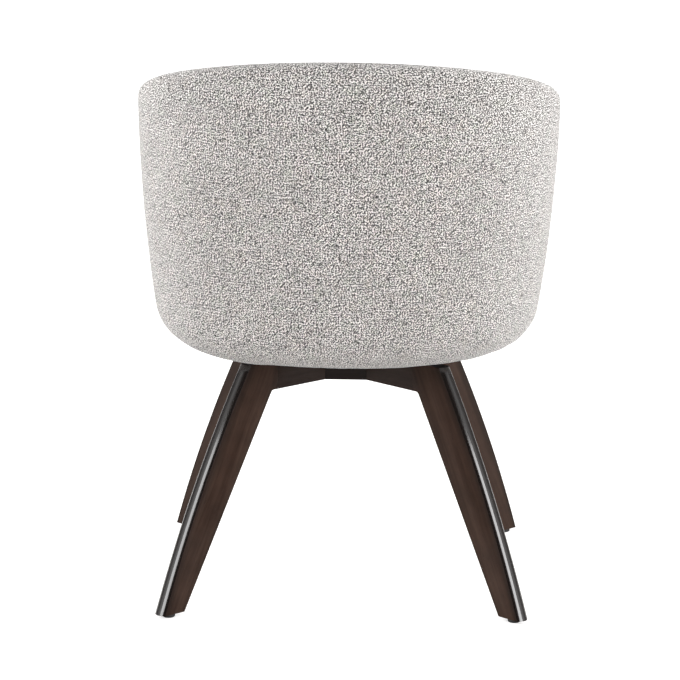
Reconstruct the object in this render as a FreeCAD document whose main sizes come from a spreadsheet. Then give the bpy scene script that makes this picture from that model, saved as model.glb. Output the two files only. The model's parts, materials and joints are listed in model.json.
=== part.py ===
import FreeCAD, Part
import math
import os

import Sketcher

# Swivel armchair: an upholstered tub on a ball-bearing swivel plate, carried by four
# splayed wooden legs. +Z is up, the chair faces -Y, and the origin is on the floor
# under the swivel's axis. Lengths are in millimetres.

LENGTHS = {
    # Tub outside, measured at its side: its drop is below the board, its rises above its bottom
    "tub_half_width": 302.0,
    "tub_widest_rise": 380.0,
    "tub_side_radius": 2074.0,
    "tub_bottom_drop": 16.0,
    "bottom_roll_radius": 66.0,
    "bottom_roll_lip": 9.0,
    "rim_rise": 367.5,
    "arm_fall_length": 1754.0,
    "arm_corner_radius": 60.0,
    "arm_corner_length": 45.0,
    "back_share_rise": 443.0,
    # Layers of the tub wall
    "wall_thickness": 56.0,
    "cover_padding": 12.0,
    "frame_wall": 10.0,
    "rim_padding": 24.0,
    "lumbar_bulge": 7.0,
    "inner_foot_depth": 60.0,
    "lumbar_rise": 150.0,
    "frame_knee_rise": 80.0,
    "soft_gap": 0.3,
    "facing_depth": 20.0,
    "band_edge_radius": 10.0,
    # Seat
    "board_inset": 38.6,
    "board_thickness": 18.0,
    "board_centre_hole": 15.0,
    "deck_thickness": 19.7,
    "deck_gap": 2.0,
    "rail_clearance": 6.0,
    "cushion_height": 84.0,
    "cushion_gap": 1.5,
    "cushion_wing_setback": 2.6,
    "cushion_overhang": 22.7,
    "notch_radius": 12.0,
    "wing_radius": 26.0,
    "cushion_centre_forward": 40.0,
    # Legs, measured outwards from the swivel's axis
    "leg_thickness": 21.0,
    "leg_joint_reach": 145.5,
    "leg_knee_reach": 156.6,
    "leg_shoulder_reach": 202.3,
    "leg_foot_inner": 322.6,
    "leg_foot_outer": 363.8,
    "leg_edge_radius": 2000.0,
    "leg_nose_radius": 15.0,
    "knee_fillet": 6.0,
    # Hub and arms of the base
    "arm_bottom_height": 300.0,
    "arm_depth": 42.0,
    "hub_width": 89.0,
    "hub_bore_radius": 21.0,
    "dowel_radius": 4.0,
    "dowel_length": 32.0,
    "dowel_spacing": 20.0,
    "dowel_end_gap": 0.5,
    "fit_gap": 0.05,
    # Glides
    "glide_radius": 9.0,
    "glide_thickness": 5.0,
    "glide_chamfer": 1.2,
    "glide_nail_radius": 1.5,
    "glide_nail_length": 16.0,
    # Swivel plates and their ball race
    "plate_thickness": 3.0,
    "bottom_plate_width": 150.0,
    "top_plate_width": 190.0,
    "race_height": 6.0,
    "race_half_width": 8.0,
    "ball_radius": 4.0,
    "ball_circle_radius": 52.0,
    "ball_fit": 0.05,
    "cage_thickness": 2.0,
    "cage_margin": 6.0,
    "ball_pocket_fit": 0.1,
    "plate_gap": 6.0,
    # Pivot
    "pivot_radius": 6.0,
    "pivot_head_height": 7.5,
    "pivot_head_radius": 10.4,
    "pivot_tail": 20.0,
    "bush_wall": 2.0,
    "bush_flange": 3.0,
    "bush_flange_thickness": 1.2,
    "washer_radius": 14.0,
    "washer_thickness": 2.0,
    "washer_gap": 0.4,
    "nut_height": 10.0,
    "nut_radius": 11.0,
    # Swivel stop
    "stop_pin_radius": 4.0,
    "stop_pin_circle": 30.0,
    "stop_gap": 0.3,
    "stop_floor_gap": 0.5,
    # Fasteners
    "plate_screw_inset": 10.0,
    "plate_screw_radius": 2.5,
    "plate_screw_length": 30.0,
    "plate_screw_head_radius": 5.0,
    "plate_screw_head_height": 3.0,
    "seat_bolt_inset": 15.0,
    "seat_bolt_radius": 3.0,
    "seat_bolt_length": 18.0,
    "seat_bolt_head_radius": 5.5,
    "seat_bolt_head_height": 4.0,
    "tee_nut_barrel_radius": 4.5,
    "tee_nut_flange_radius": 10.0,
    "tee_nut_flange_thickness": 1.5,
    "driver_hole_radius": 8.0,
    "frame_screw_radius": 2.0,
    "frame_screw_length": 30.0,
    "frame_screw_head_radius": 4.0,
    "frame_screw_head_height": 3.0,
    "frame_screw_sink": 2.0,
    # Dust cover
    "dust_cover_thickness": 0.8,
    "dust_cover_margin": 3.0,
    "dust_cover_window_gap": 2.0,
    "staple_width": 10.0,
    "staple_wire": 1.2,
    "staple_leg": 6.0,
    "staple_inset": 7.0,
    # One overrun for every cut that goes right through
    "overrun": 2.0,
}

# Shares of the tub's half width that its depth takes, at the back and at the front,
# and how steeply the rim climbs towards the back
BACK_LOW_SHARE = 0.90
BACK_HIGH_SHARE = 0.967
FRONT_SHARE = 0.985
RIM_CLIMB_SHARE = 0.25

# The cushion's side, from base to crown: shares of its height, of its full outline, and of
# the way from that notched outline to a plain oval
CUSHION_LEVEL_SHARES = (
    (0.0, 0.952, 0.0), (0.05, 0.970, 0.0), (0.14, 0.986, 0.0), (0.28, 0.996, 0.0),
    (0.42, 1.0, 0.0), (0.56, 0.997, 0.0), (0.67, 0.987, 0.0), (0.75, 0.970, 0.02),
    (0.815, 0.943, 0.06), (0.865, 0.902, 0.14), (0.905, 0.845, 0.28), (0.94, 0.765, 0.48),
    (0.967, 0.660, 0.72), (0.986, 0.520, 0.92), (0.997, 0.340, 1.0), (1.0, 0.180, 1.0),
)

# The height share at which the cushion is fullest
CUSHION_GIRTH_SHARE = 0.42

# The facing's nose: shares of its depth, and of the inset it ends with
FACING_STEP_SHARES = ((0.0, 0.0), (0.35, 0.06), (0.62, 0.22), (0.82, 0.48), (0.94, 0.75), (1.0, 1.0))
FACING_INSET_SHARE = 0.75

# Angles in degrees and counts
ARM_END_ANGLE = 120.0
CORNER_ANGLE_STEP = 1.6
CORNER_STEPS = 4
WALL_SECTIONS = 24
BAND_SECTIONS = 12
LEG_ANGLES = {"rear_left": 135.0, "rear_right": 45.0, "front_left": 225.0, "front_right": 315.0}
FULL_TURN = 360.0
SWIVEL_TRAVEL = 180.0
BALL_COUNT = 24
BACK_FRAME_SCREWS = 9
FRONT_FRAME_SCREWS = 3
STAPLE_COUNT = 24
SEAT_BACK_ARCS = 6
SEAT_FRONT_ARCS = 4

doc = FreeCAD.newDocument("SwivelArmchair")
sheet = doc.addObject("Spreadsheet::Sheet", "Sizes")
for row, (alias, length) in enumerate(LENGTHS.items(), 1):
    sheet.set(f"A{row}", alias)
    sheet.set(f"B{row}", str(length))
    sheet.setAlias(f"B{row}", alias)
doc.recompute()


class Size:
    """A number together with the sheet formula that gives it."""

    def __init__(self, number, formula):
        self.number = number
        self.formula = formula

    def join(self, other, sign, number):
        formula = other.formula if isinstance(other, Size) else repr(other)
        return Size(number, f"({self.formula} {sign} {formula})")

    def __add__(self, other):
        return self.join(other, "+", self.number + number_of(other))

    def __sub__(self, other):
        return self.join(other, "-", self.number - number_of(other))

    def __mul__(self, other):
        return self.join(other, "*", self.number * number_of(other))

    def __truediv__(self, other):
        return self.join(other, "/", self.number / number_of(other))

    def __neg__(self):
        return Size(-self.number, f"(-{self.formula})")

    def root(self):
        return Size(math.sqrt(self.number), f"sqrt({self.formula})")


def number_of(size):
    return size.number if isinstance(size, Size) else size


def named(alias):
    return Size(float(sheet.get(alias)), f"Sizes.{alias}")


class Named:
    """The sheet's cells by name: as sizes with formulas, or as plain millimetres."""

    def __init__(self, read):
        for alias in LENGTHS:
            setattr(self, alias, read(alias))


size = Named(named)
mm = Named(lambda alias: float(sheet.get(alias)))
ZERO = Size(0.0, "0")
UP = FreeCAD.Vector(0, 0, 1)
sub_parts = {}


def bind(thing, path, wanted):
    """Ties one property to its formula."""
    thing.setExpression(path, wanted.formula)


def place(thing, x, y, z, turn=None):
    """Puts an object at sizes x, y, z, turned first."""
    turn = turn or FreeCAD.Rotation()
    thing.Placement = FreeCAD.Placement(FreeCAD.Vector(x.number, y.number, z.number), turn)
    bind(thing, "Placement.Base.x", x)
    bind(thing, "Placement.Base.y", y)
    bind(thing, "Placement.Base.z", z)
    return thing


def cylinder(name, radius, height, x=ZERO, y=ZERO, z=ZERO, turn=None):
    drum = doc.addObject("Part::Cylinder", name)
    bind(drum, "Radius", radius)
    bind(drum, "Height", height)
    return place(drum, x, y, z, turn)


def box(name, length, width, height, x, y, z, turn=None):
    block = doc.addObject("Part::Box", name)
    bind(block, "Length", length)
    bind(block, "Width", width)
    bind(block, "Height", height)
    return place(block, x, y, z, turn)


def square_plate(name, width, height, z):
    return box(name, width, width, height, -width / 2, -width / 2, z)


def together(name, pieces):
    """Separate solids kept as one group."""
    group = doc.addObject("Part::Compound", name)
    group.Links = pieces
    return group


def fused(name, pieces):
    union = doc.addObject("Part::MultiFuse", name)
    union.Shapes = pieces
    return union


def cut(name, base, tools):
    result = doc.addObject("Part::Cut", name)
    result.Base = base
    result.Tool = tools[0] if len(tools) == 1 else together(f"{name}_tools", tools)
    return result


def shaped(name, shape):
    """A piece whose curved form comes from the shape functions below."""
    piece = doc.addObject("Part::Feature", name)
    piece.Shape = shape
    piece.Placement = FreeCAD.Placement()
    return piece


def keep(name, piece):
    """Names a finished sub-part after the file it is written to."""
    piece.Label = name
    sub_parts[name] = piece
    return piece


def spoke(angle, along, across):
    """The x and y of a point given along and across a spoke at an angle."""
    cosine = math.cos(math.radians(angle))
    sine = math.sin(math.radians(angle))
    return along * cosine - across * sine, along * sine + across * cosine


def lying_on_spoke(angle):
    """Turns an upright cylinder to lie outwards along a spoke."""
    outwards = FreeCAD.Vector(math.cos(math.radians(angle)), math.sin(math.radians(angle)), 0)
    return FreeCAD.Rotation(UP, outwards)


def sketch_on(body, name, role, corners, offset=None):
    """A closed outline on one of the body's own planes, tied to the sheet point by point.

    Each corner is (x, y, radius): the radius bends the stretch to the next corner into an
    arc that bulges to the right of the way round, and None leaves it straight.
    """
    plane = next(item for item in body.Origin.OriginFeatures if item.Role == role)
    sketch = body.newObject("Sketcher::SketchObject", name)
    sketch.AttachmentSupport = [(plane, "")]
    sketch.MapMode = "FlatFace"
    if offset:
        shift = FreeCAD.Vector(*(part.number for part in offset))
        sketch.AttachmentOffset = FreeCAD.Placement(shift, FreeCAD.Rotation())
        for letter, part in zip("xyz", offset):
            bind(sketch, f"AttachmentOffset.Base.{letter}", part)
    count = len(corners)
    for index, (x, y, radius) in enumerate(corners):
        here = FreeCAD.Vector(x.number, y.number, 0)
        next_x, next_y, _ = corners[(index + 1) % count]
        there = FreeCAD.Vector(next_x.number, next_y.number, 0)
        if radius is None:
            sketch.addGeometry(Part.LineSegment(here, there))
        else:
            chord = there - here
            left = FreeCAD.Vector(-chord.y, chord.x, 0).normalize()
            rise = math.sqrt(radius.number ** 2 - (chord.Length / 2) ** 2)
            centre = (here + there) / 2 + left * rise
            first = math.atan2(here.y - centre.y, here.x - centre.x)
            last = math.atan2(there.y - centre.y, there.x - centre.x)
            ring = Part.Circle(centre, UP, radius.number)
            sketch.addGeometry(Part.ArcOfCircle(ring, first, last))
    for index, (x, y, radius) in enumerate(corners):
        sketch.addConstraint(Sketcher.Constraint("Coincident", index, 2, (index + 1) % count, 1))
        across = sketch.addConstraint(Sketcher.Constraint("DistanceX", index, 1, x.number))
        bind(sketch, f"Constraints[{across}]", x)
        upwards = sketch.addConstraint(Sketcher.Constraint("DistanceY", index, 1, y.number))
        bind(sketch, f"Constraints[{upwards}]", y)
        if radius is not None:
            bend = sketch.addConstraint(Sketcher.Constraint("Radius", index, radius.number))
            bind(sketch, f"Constraints[{bend}]", radius)
    return sketch


def circles_on(body, name, role, centres, radius, offset):
    """Round holes' outlines on one of the body's own planes."""
    plane = next(item for item in body.Origin.OriginFeatures if item.Role == role)
    sketch = body.newObject("Sketcher::SketchObject", name)
    sketch.AttachmentSupport = [(plane, "")]
    sketch.MapMode = "FlatFace"
    sketch.AttachmentOffset = FreeCAD.Placement(FreeCAD.Vector(0, 0, offset.number), FreeCAD.Rotation())
    bind(sketch, "AttachmentOffset.Base.z", offset)
    for index, (x, y) in enumerate(centres):
        middle = FreeCAD.Vector(x.number, y.number, 0)
        sketch.addGeometry(Part.Circle(middle, UP, radius.number))
        across = sketch.addConstraint(Sketcher.Constraint("DistanceX", index, 3, x.number))
        bind(sketch, f"Constraints[{across}]", x)
        upwards = sketch.addConstraint(Sketcher.Constraint("DistanceY", index, 3, y.number))
        bind(sketch, f"Constraints[{upwards}]", y)
        round_size = sketch.addConstraint(Sketcher.Constraint("Radius", index, radius.number))
        bind(sketch, f"Constraints[{round_size}]", radius)
    return sketch


def pocket(body, name, sketch, depth, reversed_way):
    """A blind cut, checked to have taken something away."""
    doc.recompute()
    before = body.Shape.Volume
    hole = body.newObject("PartDesign::Pocket", name)
    hole.Profile = sketch
    hole.Reversed = reversed_way
    hole.Type = 0
    bind(hole, "Length", depth)
    doc.recompute()
    if not body.Shape.Volume < before:
        raise RuntimeError(f"{name} of {body.Label} cuts nothing")
    return hole


# Heights that several pieces share
arm_top = size.arm_bottom_height + size.arm_depth
bottom_plate_top = arm_top + size.plate_thickness
lower_race_top = bottom_plate_top + size.race_height
upper_race_bottom = lower_race_top + size.plate_gap
ball_height = lower_race_top + size.plate_gap / 2
top_plate_bottom = upper_race_bottom + size.race_height
board_bottom = top_plate_bottom + size.plate_thickness
board_top = board_bottom + size.board_thickness
deck_bottom = board_top + size.soft_gap
deck_top = deck_bottom + size.deck_thickness
cushion_bottom = deck_top + size.soft_gap
tub_bottom = board_bottom - size.tub_bottom_drop
tub_widest = tub_bottom + size.tub_widest_rise
lumbar_height = tub_bottom + size.lumbar_rise
frame_knee_height = tub_bottom + size.frame_knee_rise

# Places across that several pieces share
hub_face = size.hub_width / 2 * math.sqrt(2) - size.leg_thickness / 2
plate_screw_spread = size.bottom_plate_width / 2 - size.plate_screw_inset
seat_bolt_spread = size.top_plate_width / 2 - size.seat_bolt_inset


# Base: hub, arms, legs, dowels and glides

def dowel_spots(angle, reach):
    """Start points of the two dowels that cross a joint at this reach."""
    middle = size.arm_bottom_height + size.arm_depth / 2
    for lift in (-size.dowel_spacing / 2, size.dowel_spacing / 2):
        x, y = spoke(angle, reach - size.dowel_length / 2, ZERO)
        yield x, y, middle + lift


def joint_dowels(name, reach):
    pegs = []
    for corner, angle in LEG_ANGLES.items():
        for index, (x, y, z) in enumerate(dowel_spots(angle, reach)):
            peg_name = f"{name}_{corner}_{index}"
            turn = lying_on_spoke(angle)
            pegs.append(cylinder(peg_name, size.dowel_radius, size.dowel_length, x, y, z, turn))
    keep(name, together(name, pegs))


def dowel_holes(name, angle, reach):
    """The bores for a joint's two dowels, a little wider and longer than they are."""
    holes = []
    slack_x, slack_y = spoke(angle, size.dowel_end_gap, ZERO)
    for index, (x, y, z) in enumerate(dowel_spots(angle, reach)):
        length = size.dowel_length + size.dowel_end_gap * 2
        radius = size.dowel_radius + size.fit_gap
        hole_name = f"{name}_{index}"
        turn = lying_on_spoke(angle)
        holes.append(cylinder(hole_name, radius, length, x - slack_x, y - slack_y, z, turn))
    return holes


def make_hub():
    block = square_plate("hub_block", size.hub_width, size.arm_depth, size.arm_bottom_height)
    trim = box("hub_trim", hub_face * 2, hub_face * 2, size.arm_depth,
               ZERO, -(hub_face * math.sqrt(2)), size.arm_bottom_height,
               FreeCAD.Rotation(UP, 45.0))
    octagon = doc.addObject("Part::Common", "hub_octagon")
    octagon.Base = block
    octagon.Tool = trim
    bore = cylinder("hub_bore", size.hub_bore_radius, size.arm_depth + size.overrun * 2,
                    z=size.arm_bottom_height - size.overrun)
    tools = [bore]
    for corner, angle in LEG_ANGLES.items():
        tools.extend(dowel_holes(f"hub_hole_{corner}", angle, hub_face))
    keep("base_hub", cut("base_hub", octagon, tools))


def make_arm(corner, angle):
    x, y = spoke(angle, hub_face, -size.leg_thickness / 2)
    length = size.leg_joint_reach - hub_face
    bar = box(f"arm_bar_{corner}", length, size.leg_thickness, size.arm_depth,
              x, y, size.arm_bottom_height, FreeCAD.Rotation(UP, angle))
    tools = dowel_holes(f"arm_hub_hole_{corner}", angle, hub_face)
    tools += dowel_holes(f"arm_leg_hole_{corner}", angle, size.leg_joint_reach)
    screw_x, screw_y = spoke(angle, plate_screw_spread * math.sqrt(2), ZERO)
    depth = size.plate_screw_length - size.plate_thickness + size.dowel_end_gap
    tools.append(cylinder(f"arm_pilot_{corner}", size.plate_screw_radius + size.fit_gap,
                          depth + size.overrun, screw_x, screw_y, arm_top - depth))
    keep(f"arm_{corner}", cut(f"arm_{corner}", bar, tools))


def make_leg(corner, angle):
    """A splayed leg: straight inside, gently bowed and round-nosed outside."""
    body = doc.addObject("PartDesign::Body", f"leg_{corner}")
    foot = size.glide_thickness
    outline = [
        (size.leg_joint_reach, size.arm_bottom_height, None),
        (size.leg_knee_reach, size.arm_bottom_height, None),
        (size.leg_foot_inner, foot, None),
        (size.leg_foot_outer, foot, size.leg_edge_radius),
        (size.leg_shoulder_reach, arm_top, None),
        (size.leg_joint_reach, arm_top, None),
    ]
    profile = sketch_on(body, f"leg_profile_{corner}", "XZ_Plane", outline)
    pad = body.newObject("PartDesign::Pad", f"leg_pad_{corner}")
    pad.Profile = profile
    pad.Midplane = True
    bind(pad, "Length", size.leg_thickness)
    doc.recompute()
    whole = body.Shape.Volume

    # The nose: everything outside a round arc across the thickness is turned away,
    # about the centre of the leg's outer bow
    run = size.leg_foot_outer - size.leg_shoulder_reach
    rise = arm_top - foot
    chord = (run * run + rise * rise).root()
    sagitta_arm = (size.leg_edge_radius * size.leg_edge_radius - chord * chord / 4).root()
    centre_reach = (size.leg_foot_outer + size.leg_shoulder_reach) / 2 - sagitta_arm * rise / chord
    centre_height = (foot + arm_top) / 2 - sagitta_arm * run / chord
    half = size.leg_thickness / 2
    nose_back = (size.leg_nose_radius * size.leg_nose_radius - half * half).root()
    shoulder = size.leg_edge_radius - size.leg_nose_radius + nose_back
    outside = size.leg_edge_radius + size.overrun
    nose = [
        (shoulder, -half, size.leg_nose_radius),
        (shoulder, half, None),
        (shoulder, half + size.overrun, None),
        (outside, half + size.overrun, None),
        (outside, -(half + size.overrun), None),
        (shoulder, -(half + size.overrun), None),
    ]
    waste = sketch_on(body, f"leg_nose_{corner}", "XY_Plane", nose,
                      (centre_reach, ZERO, centre_height))
    groove = body.newObject("PartDesign::Groove", f"leg_groove_{corner}")
    groove.Profile = waste
    groove.ReferenceAxis = (waste, ["V_Axis"])
    groove.Angle = FULL_TURN
    doc.recompute()
    if not body.Shape.Volume < whole:
        raise RuntimeError(f"the nose of leg_{corner} cuts nothing")

    middle = size.arm_bottom_height + size.arm_depth / 2
    centres = [(ZERO, middle - size.dowel_spacing / 2), (ZERO, middle + size.dowel_spacing / 2)]
    bores = circles_on(body, f"leg_dowel_bores_{corner}", "YZ_Plane", centres,
                       size.dowel_radius + size.fit_gap, size.leg_joint_reach)
    pocket(body, f"leg_dowel_pocket_{corner}", bores,
           size.dowel_length / 2 + size.dowel_end_gap, True)
    glide_reach = (size.leg_foot_inner + size.leg_foot_outer) / 2
    nail = circles_on(body, f"leg_nail_bore_{corner}", "XY_Plane", [(glide_reach, ZERO)],
                      size.glide_nail_radius + size.fit_gap, foot)
    pocket(body, f"leg_nail_pocket_{corner}", nail,
           size.glide_nail_length + size.dowel_end_gap, True)

    solid = body.Tip
    edges = [f"Edge{index}" for index, edge in enumerate(solid.Shape.Edges, 1) if is_knee(edge)]
    knee = body.newObject("PartDesign::Fillet", f"leg_knee_{corner}")
    knee.Base = (solid, edges)
    bind(knee, "Radius", size.knee_fillet)
    body.Placement = FreeCAD.Placement(FreeCAD.Vector(0, 0, 0), FreeCAD.Rotation(UP, angle))
    keep(f"leg_{corner}", body)


def is_knee(edge):
    """True for the crosswise edge where the leg's straight inside meets its joint."""
    middle = edge.CenterOfMass
    near = mm.fit_gap
    return (abs(middle.x - mm.leg_knee_reach) < near
            and abs(middle.z - mm.arm_bottom_height) < near
            and abs(middle.y) < near)


def make_glide(corner, angle):
    """A round foot with a chamfered rim and its nail, up into the leg."""
    reach = (size.leg_foot_inner + size.leg_foot_outer) / 2
    x, y = spoke(angle, reach, ZERO)
    pad_height = size.glide_thickness - size.glide_chamfer
    disc = cylinder(f"glide_disc_{corner}", size.glide_radius, pad_height, x, y, size.glide_chamfer)
    rim = doc.addObject("Part::Cone", f"glide_rim_{corner}")
    bind(rim, "Radius1", size.glide_radius - size.glide_chamfer)
    bind(rim, "Radius2", size.glide_radius)
    bind(rim, "Height", size.glide_chamfer)
    place(rim, x, y, ZERO)
    nail_height = size.glide_nail_length + size.glide_chamfer
    nail = cylinder(f"glide_nail_{corner}", size.glide_nail_radius, nail_height,
                    x, y, size.glide_thickness - size.glide_chamfer)
    keep(f"glide_{corner}", fused(f"glide_{corner}", [disc, rim, nail]))


# Swivel: two plates with a ball race, the pivot and the stop

PLATE_CORNERS = ((1, 1), (-1, 1), (-1, -1), (1, -1))


def at_corners(name, spread, radius, height, z):
    """Upright cylinders at the four corners of a square."""
    drums = []
    for index, (side_x, side_y) in enumerate(PLATE_CORNERS):
        drums.append(cylinder(f"{name}_{index}", radius, height, spread * side_x, spread * side_y, z))
    return drums


def race_ring(name, z):
    drum = cylinder(f"{name}_drum", size.ball_circle_radius + size.race_half_width, size.race_height, z=z)
    well = cylinder(f"{name}_well", size.ball_circle_radius - size.race_half_width, size.race_height, z=z)
    return cut(name, drum, [well])


def race_groove(name):
    groove = doc.addObject("Part::Torus", name)
    bind(groove, "Radius1", size.ball_circle_radius)
    bind(groove, "Radius2", size.ball_radius + size.ball_fit)
    return place(groove, ZERO, ZERO, ball_height)


def make_stop_slot():
    """The curved slot that the stop pin travels in, half a turn long."""
    radius = size.stop_pin_radius + size.stop_gap
    depth = size.plate_thickness + size.overrun * 2
    start = arm_top - size.overrun
    half_turn = FreeCAD.Rotation(UP, 180.0)
    outer = cylinder("slot_outer", size.stop_pin_circle + radius, depth, z=start, turn=half_turn)
    outer.Angle = SWIVEL_TRAVEL
    inner = cylinder("slot_inner", size.stop_pin_circle - radius, depth, z=start)
    channel = cut("slot_channel", outer, [inner])
    ends = [
        cylinder("slot_end_left", radius, depth, -size.stop_pin_circle, ZERO, start),
        cylinder("slot_end_right", radius, depth, size.stop_pin_circle, ZERO, start),
    ]
    return fused("stop_slot", [channel] + ends)


def make_bottom_plate():
    plate = square_plate("bottom_plate_sheet", size.bottom_plate_width, size.plate_thickness, arm_top)
    blank = fused("bottom_plate_blank", [plate, race_ring("lower_race", bottom_plate_top)])
    through = size.plate_thickness + size.overrun * 2
    tools = [race_groove("lower_groove"), make_stop_slot()]
    tools.append(cylinder("bush_hole", size.pivot_radius + size.fit_gap + size.bush_wall, through,
                          z=arm_top - size.overrun))
    tools += at_corners("bottom_screw_hole", plate_screw_spread,
                        size.plate_screw_radius + size.fit_gap, through, arm_top - size.overrun)
    keep("swivel_bottom_plate", cut("swivel_bottom_plate", blank, tools))


def make_bottom_screws():
    """Pan-head wood screws from the bottom plate down into the arms."""
    shank_bottom = bottom_plate_top - size.plate_screw_length
    shanks = at_corners("bottom_screw_shank", plate_screw_spread, size.plate_screw_radius,
                        size.plate_screw_length, shank_bottom)
    heads = at_corners("bottom_screw_head", plate_screw_spread, size.plate_screw_head_radius,
                       size.plate_screw_head_height, bottom_plate_top)
    screws = [fused(f"bottom_screw_{index}", pair) for index, pair in enumerate(zip(shanks, heads))]
    keep("bottom_plate_screws", together("bottom_plate_screws", screws))


def make_bush():
    outer = size.pivot_radius + size.fit_gap + size.bush_wall
    sleeve = cylinder("bush_sleeve", outer, size.plate_thickness, z=arm_top)
    flange = cylinder("bush_collar", outer + size.bush_flange, size.bush_flange_thickness,
                      z=bottom_plate_top)
    bore = cylinder("bush_bore", size.pivot_radius + size.fit_gap,
                    size.plate_thickness + size.overrun * 2, z=arm_top - size.overrun)
    keep("pivot_bush", cut("pivot_bush", fused("bush_blank", [sleeve, flange]), [bore]))


def make_balls():
    balls = []
    for index in range(BALL_COUNT):
        x, y = spoke(FULL_TURN * index / BALL_COUNT, size.ball_circle_radius, ZERO)
        ball = doc.addObject("Part::Sphere", f"ball_{index}")
        bind(ball, "Radius", size.ball_radius)
        balls.append(place(ball, x, y, ball_height))
    keep("bearing_balls", together("bearing_balls", balls))


def make_cage():
    bottom = ball_height - size.cage_thickness / 2
    ring = cylinder("cage_ring", size.ball_circle_radius + size.cage_margin, size.cage_thickness, z=bottom)
    well = cylinder("cage_well", size.ball_circle_radius - size.cage_margin, size.cage_thickness, z=bottom)
    holes = [well]
    for index in range(BALL_COUNT):
        x, y = spoke(FULL_TURN * index / BALL_COUNT, size.ball_circle_radius, ZERO)
        radius = size.ball_radius + size.ball_pocket_fit
        depth = size.cage_thickness + size.overrun * 2
        holes.append(cylinder(f"cage_pocket_{index}", radius, depth, x, y, bottom - size.overrun))
    keep("ball_cage", cut("ball_cage", ring, holes))


def make_top_plate():
    plate = square_plate("top_plate_sheet", size.top_plate_width, size.plate_thickness, top_plate_bottom)
    blank = fused("top_plate_blank", [plate, race_ring("upper_race", upper_race_bottom)])
    through = size.plate_thickness + size.overrun * 2
    start = top_plate_bottom - size.overrun
    tools = [race_groove("upper_groove")]
    tools.append(cylinder("top_pivot_hole", size.pivot_radius + size.fit_gap, through, z=start))
    tools += at_corners("top_bolt_hole", seat_bolt_spread, size.seat_bolt_radius + size.fit_gap,
                        through, start)
    tools += at_corners("driver_hole", plate_screw_spread, size.driver_hole_radius, through, start)
    keep("swivel_top_plate", cut("swivel_top_plate", blank, tools))


def hexagon(name, radius, height, z):
    prism = doc.addObject("Part::Prism", name)
    prism.Polygon = 6
    bind(prism, "Circumradius", radius)
    bind(prism, "Height", height)
    return place(prism, ZERO, ZERO, z)


def make_pivot():
    """The pivot bolt from above, with its washer and lock nut under the bottom plate."""
    washer_bottom = arm_top - size.washer_gap - size.washer_thickness
    nut_bottom = washer_bottom - size.nut_height
    shank_bottom = arm_top - size.pivot_tail
    head = hexagon("pivot_head", size.pivot_head_radius, size.pivot_head_height, board_bottom)
    shank = cylinder("pivot_shank", size.pivot_radius, board_bottom - shank_bottom, z=shank_bottom)
    keep("pivot_bolt", fused("pivot_bolt", [head, shank]))
    disc = cylinder("washer_disc", size.washer_radius, size.washer_thickness, z=washer_bottom)
    eye = cylinder("washer_eye", size.pivot_radius + size.fit_gap, size.washer_thickness,
                   z=washer_bottom)
    keep("pivot_washer", cut("pivot_washer", disc, [eye]))
    block = hexagon("nut_block", size.nut_radius, size.nut_height, nut_bottom)
    thread = cylinder("nut_thread", size.pivot_radius + size.fit_gap, size.nut_height, z=nut_bottom)
    keep("pivot_nut", cut("pivot_nut", block, [thread]))


def make_stop_pin():
    bottom = arm_top + size.stop_floor_gap
    pin = cylinder("stop_pin_rod", size.stop_pin_radius, top_plate_bottom - bottom,
                   ZERO, -size.stop_pin_circle, bottom)
    keep("stop_pin", pin)


def make_seat_bolts():
    """Bolts up through the top plate into tee nuts in the seat board."""
    shanks = at_corners("seat_bolt_shank", seat_bolt_spread, size.seat_bolt_radius,
                        size.seat_bolt_length, top_plate_bottom)
    heads = at_corners("seat_bolt_head", seat_bolt_spread, size.seat_bolt_head_radius,
                       size.seat_bolt_head_height, top_plate_bottom - size.seat_bolt_head_height)
    bolts = [fused(f"seat_bolt_{index}", pair) for index, pair in enumerate(zip(shanks, heads))]
    keep("seat_plate_bolts", together("seat_plate_bolts", bolts))
    flange_bottom = board_top - size.tee_nut_flange_thickness
    barrels = at_corners("tee_barrel", seat_bolt_spread, size.tee_nut_barrel_radius,
                         flange_bottom - board_bottom, board_bottom)
    flanges = at_corners("tee_flange", seat_bolt_spread, size.tee_nut_flange_radius,
                         size.tee_nut_flange_thickness, flange_bottom)
    threads = at_corners("tee_thread", seat_bolt_spread, size.seat_bolt_radius + size.fit_gap,
                         size.board_thickness, board_bottom)
    nuts = []
    for index, (barrel, flange, thread) in enumerate(zip(barrels, flanges, threads)):
        blank = fused(f"tee_nut_blank_{index}", [barrel, flange])
        nuts.append(cut(f"tee_nut_{index}", blank, [thread]))
    keep("seat_tee_nuts", together("seat_tee_nuts", nuts))


# The tub's form. A profile is drawn at the tub's side, as side reach and height, and
# carried round the swivel's axis: the depth shares turn the round plan into an oval.

def depth_share(angle, height):
    """The tub's depth as a share of its half width, at this angle from the back."""
    if math.cos(math.radians(angle)) < 0:
        return FRONT_SHARE
    climb = (height - tub_bottom.number) / mm.back_share_rise
    return BACK_LOW_SHARE + (BACK_HIGH_SHARE - BACK_LOW_SHARE) * climb


def reach_at(angle, side, share):
    """How far an oval reaches at an angle from the back."""
    sine = math.sin(math.radians(angle))
    cosine = math.cos(math.radians(angle))
    return side * share / math.hypot(share * sine, cosine)


def point_at(angle, side, height):
    """A profile's point, carried round to an angle from the back."""
    reach = reach_at(angle, side, depth_share(angle, height))
    turn = math.radians(angle)
    return FreeCAD.Vector(reach * math.sin(turn), reach * math.cos(turn), height)


def side_at(height):
    """The tub's outer half width: a large arc that stands upright at its widest."""
    below = tub_widest.number - min(height, tub_widest.number)
    return mm.tub_half_width - (mm.tub_side_radius - math.sqrt(mm.tub_side_radius ** 2 - below ** 2))


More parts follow.
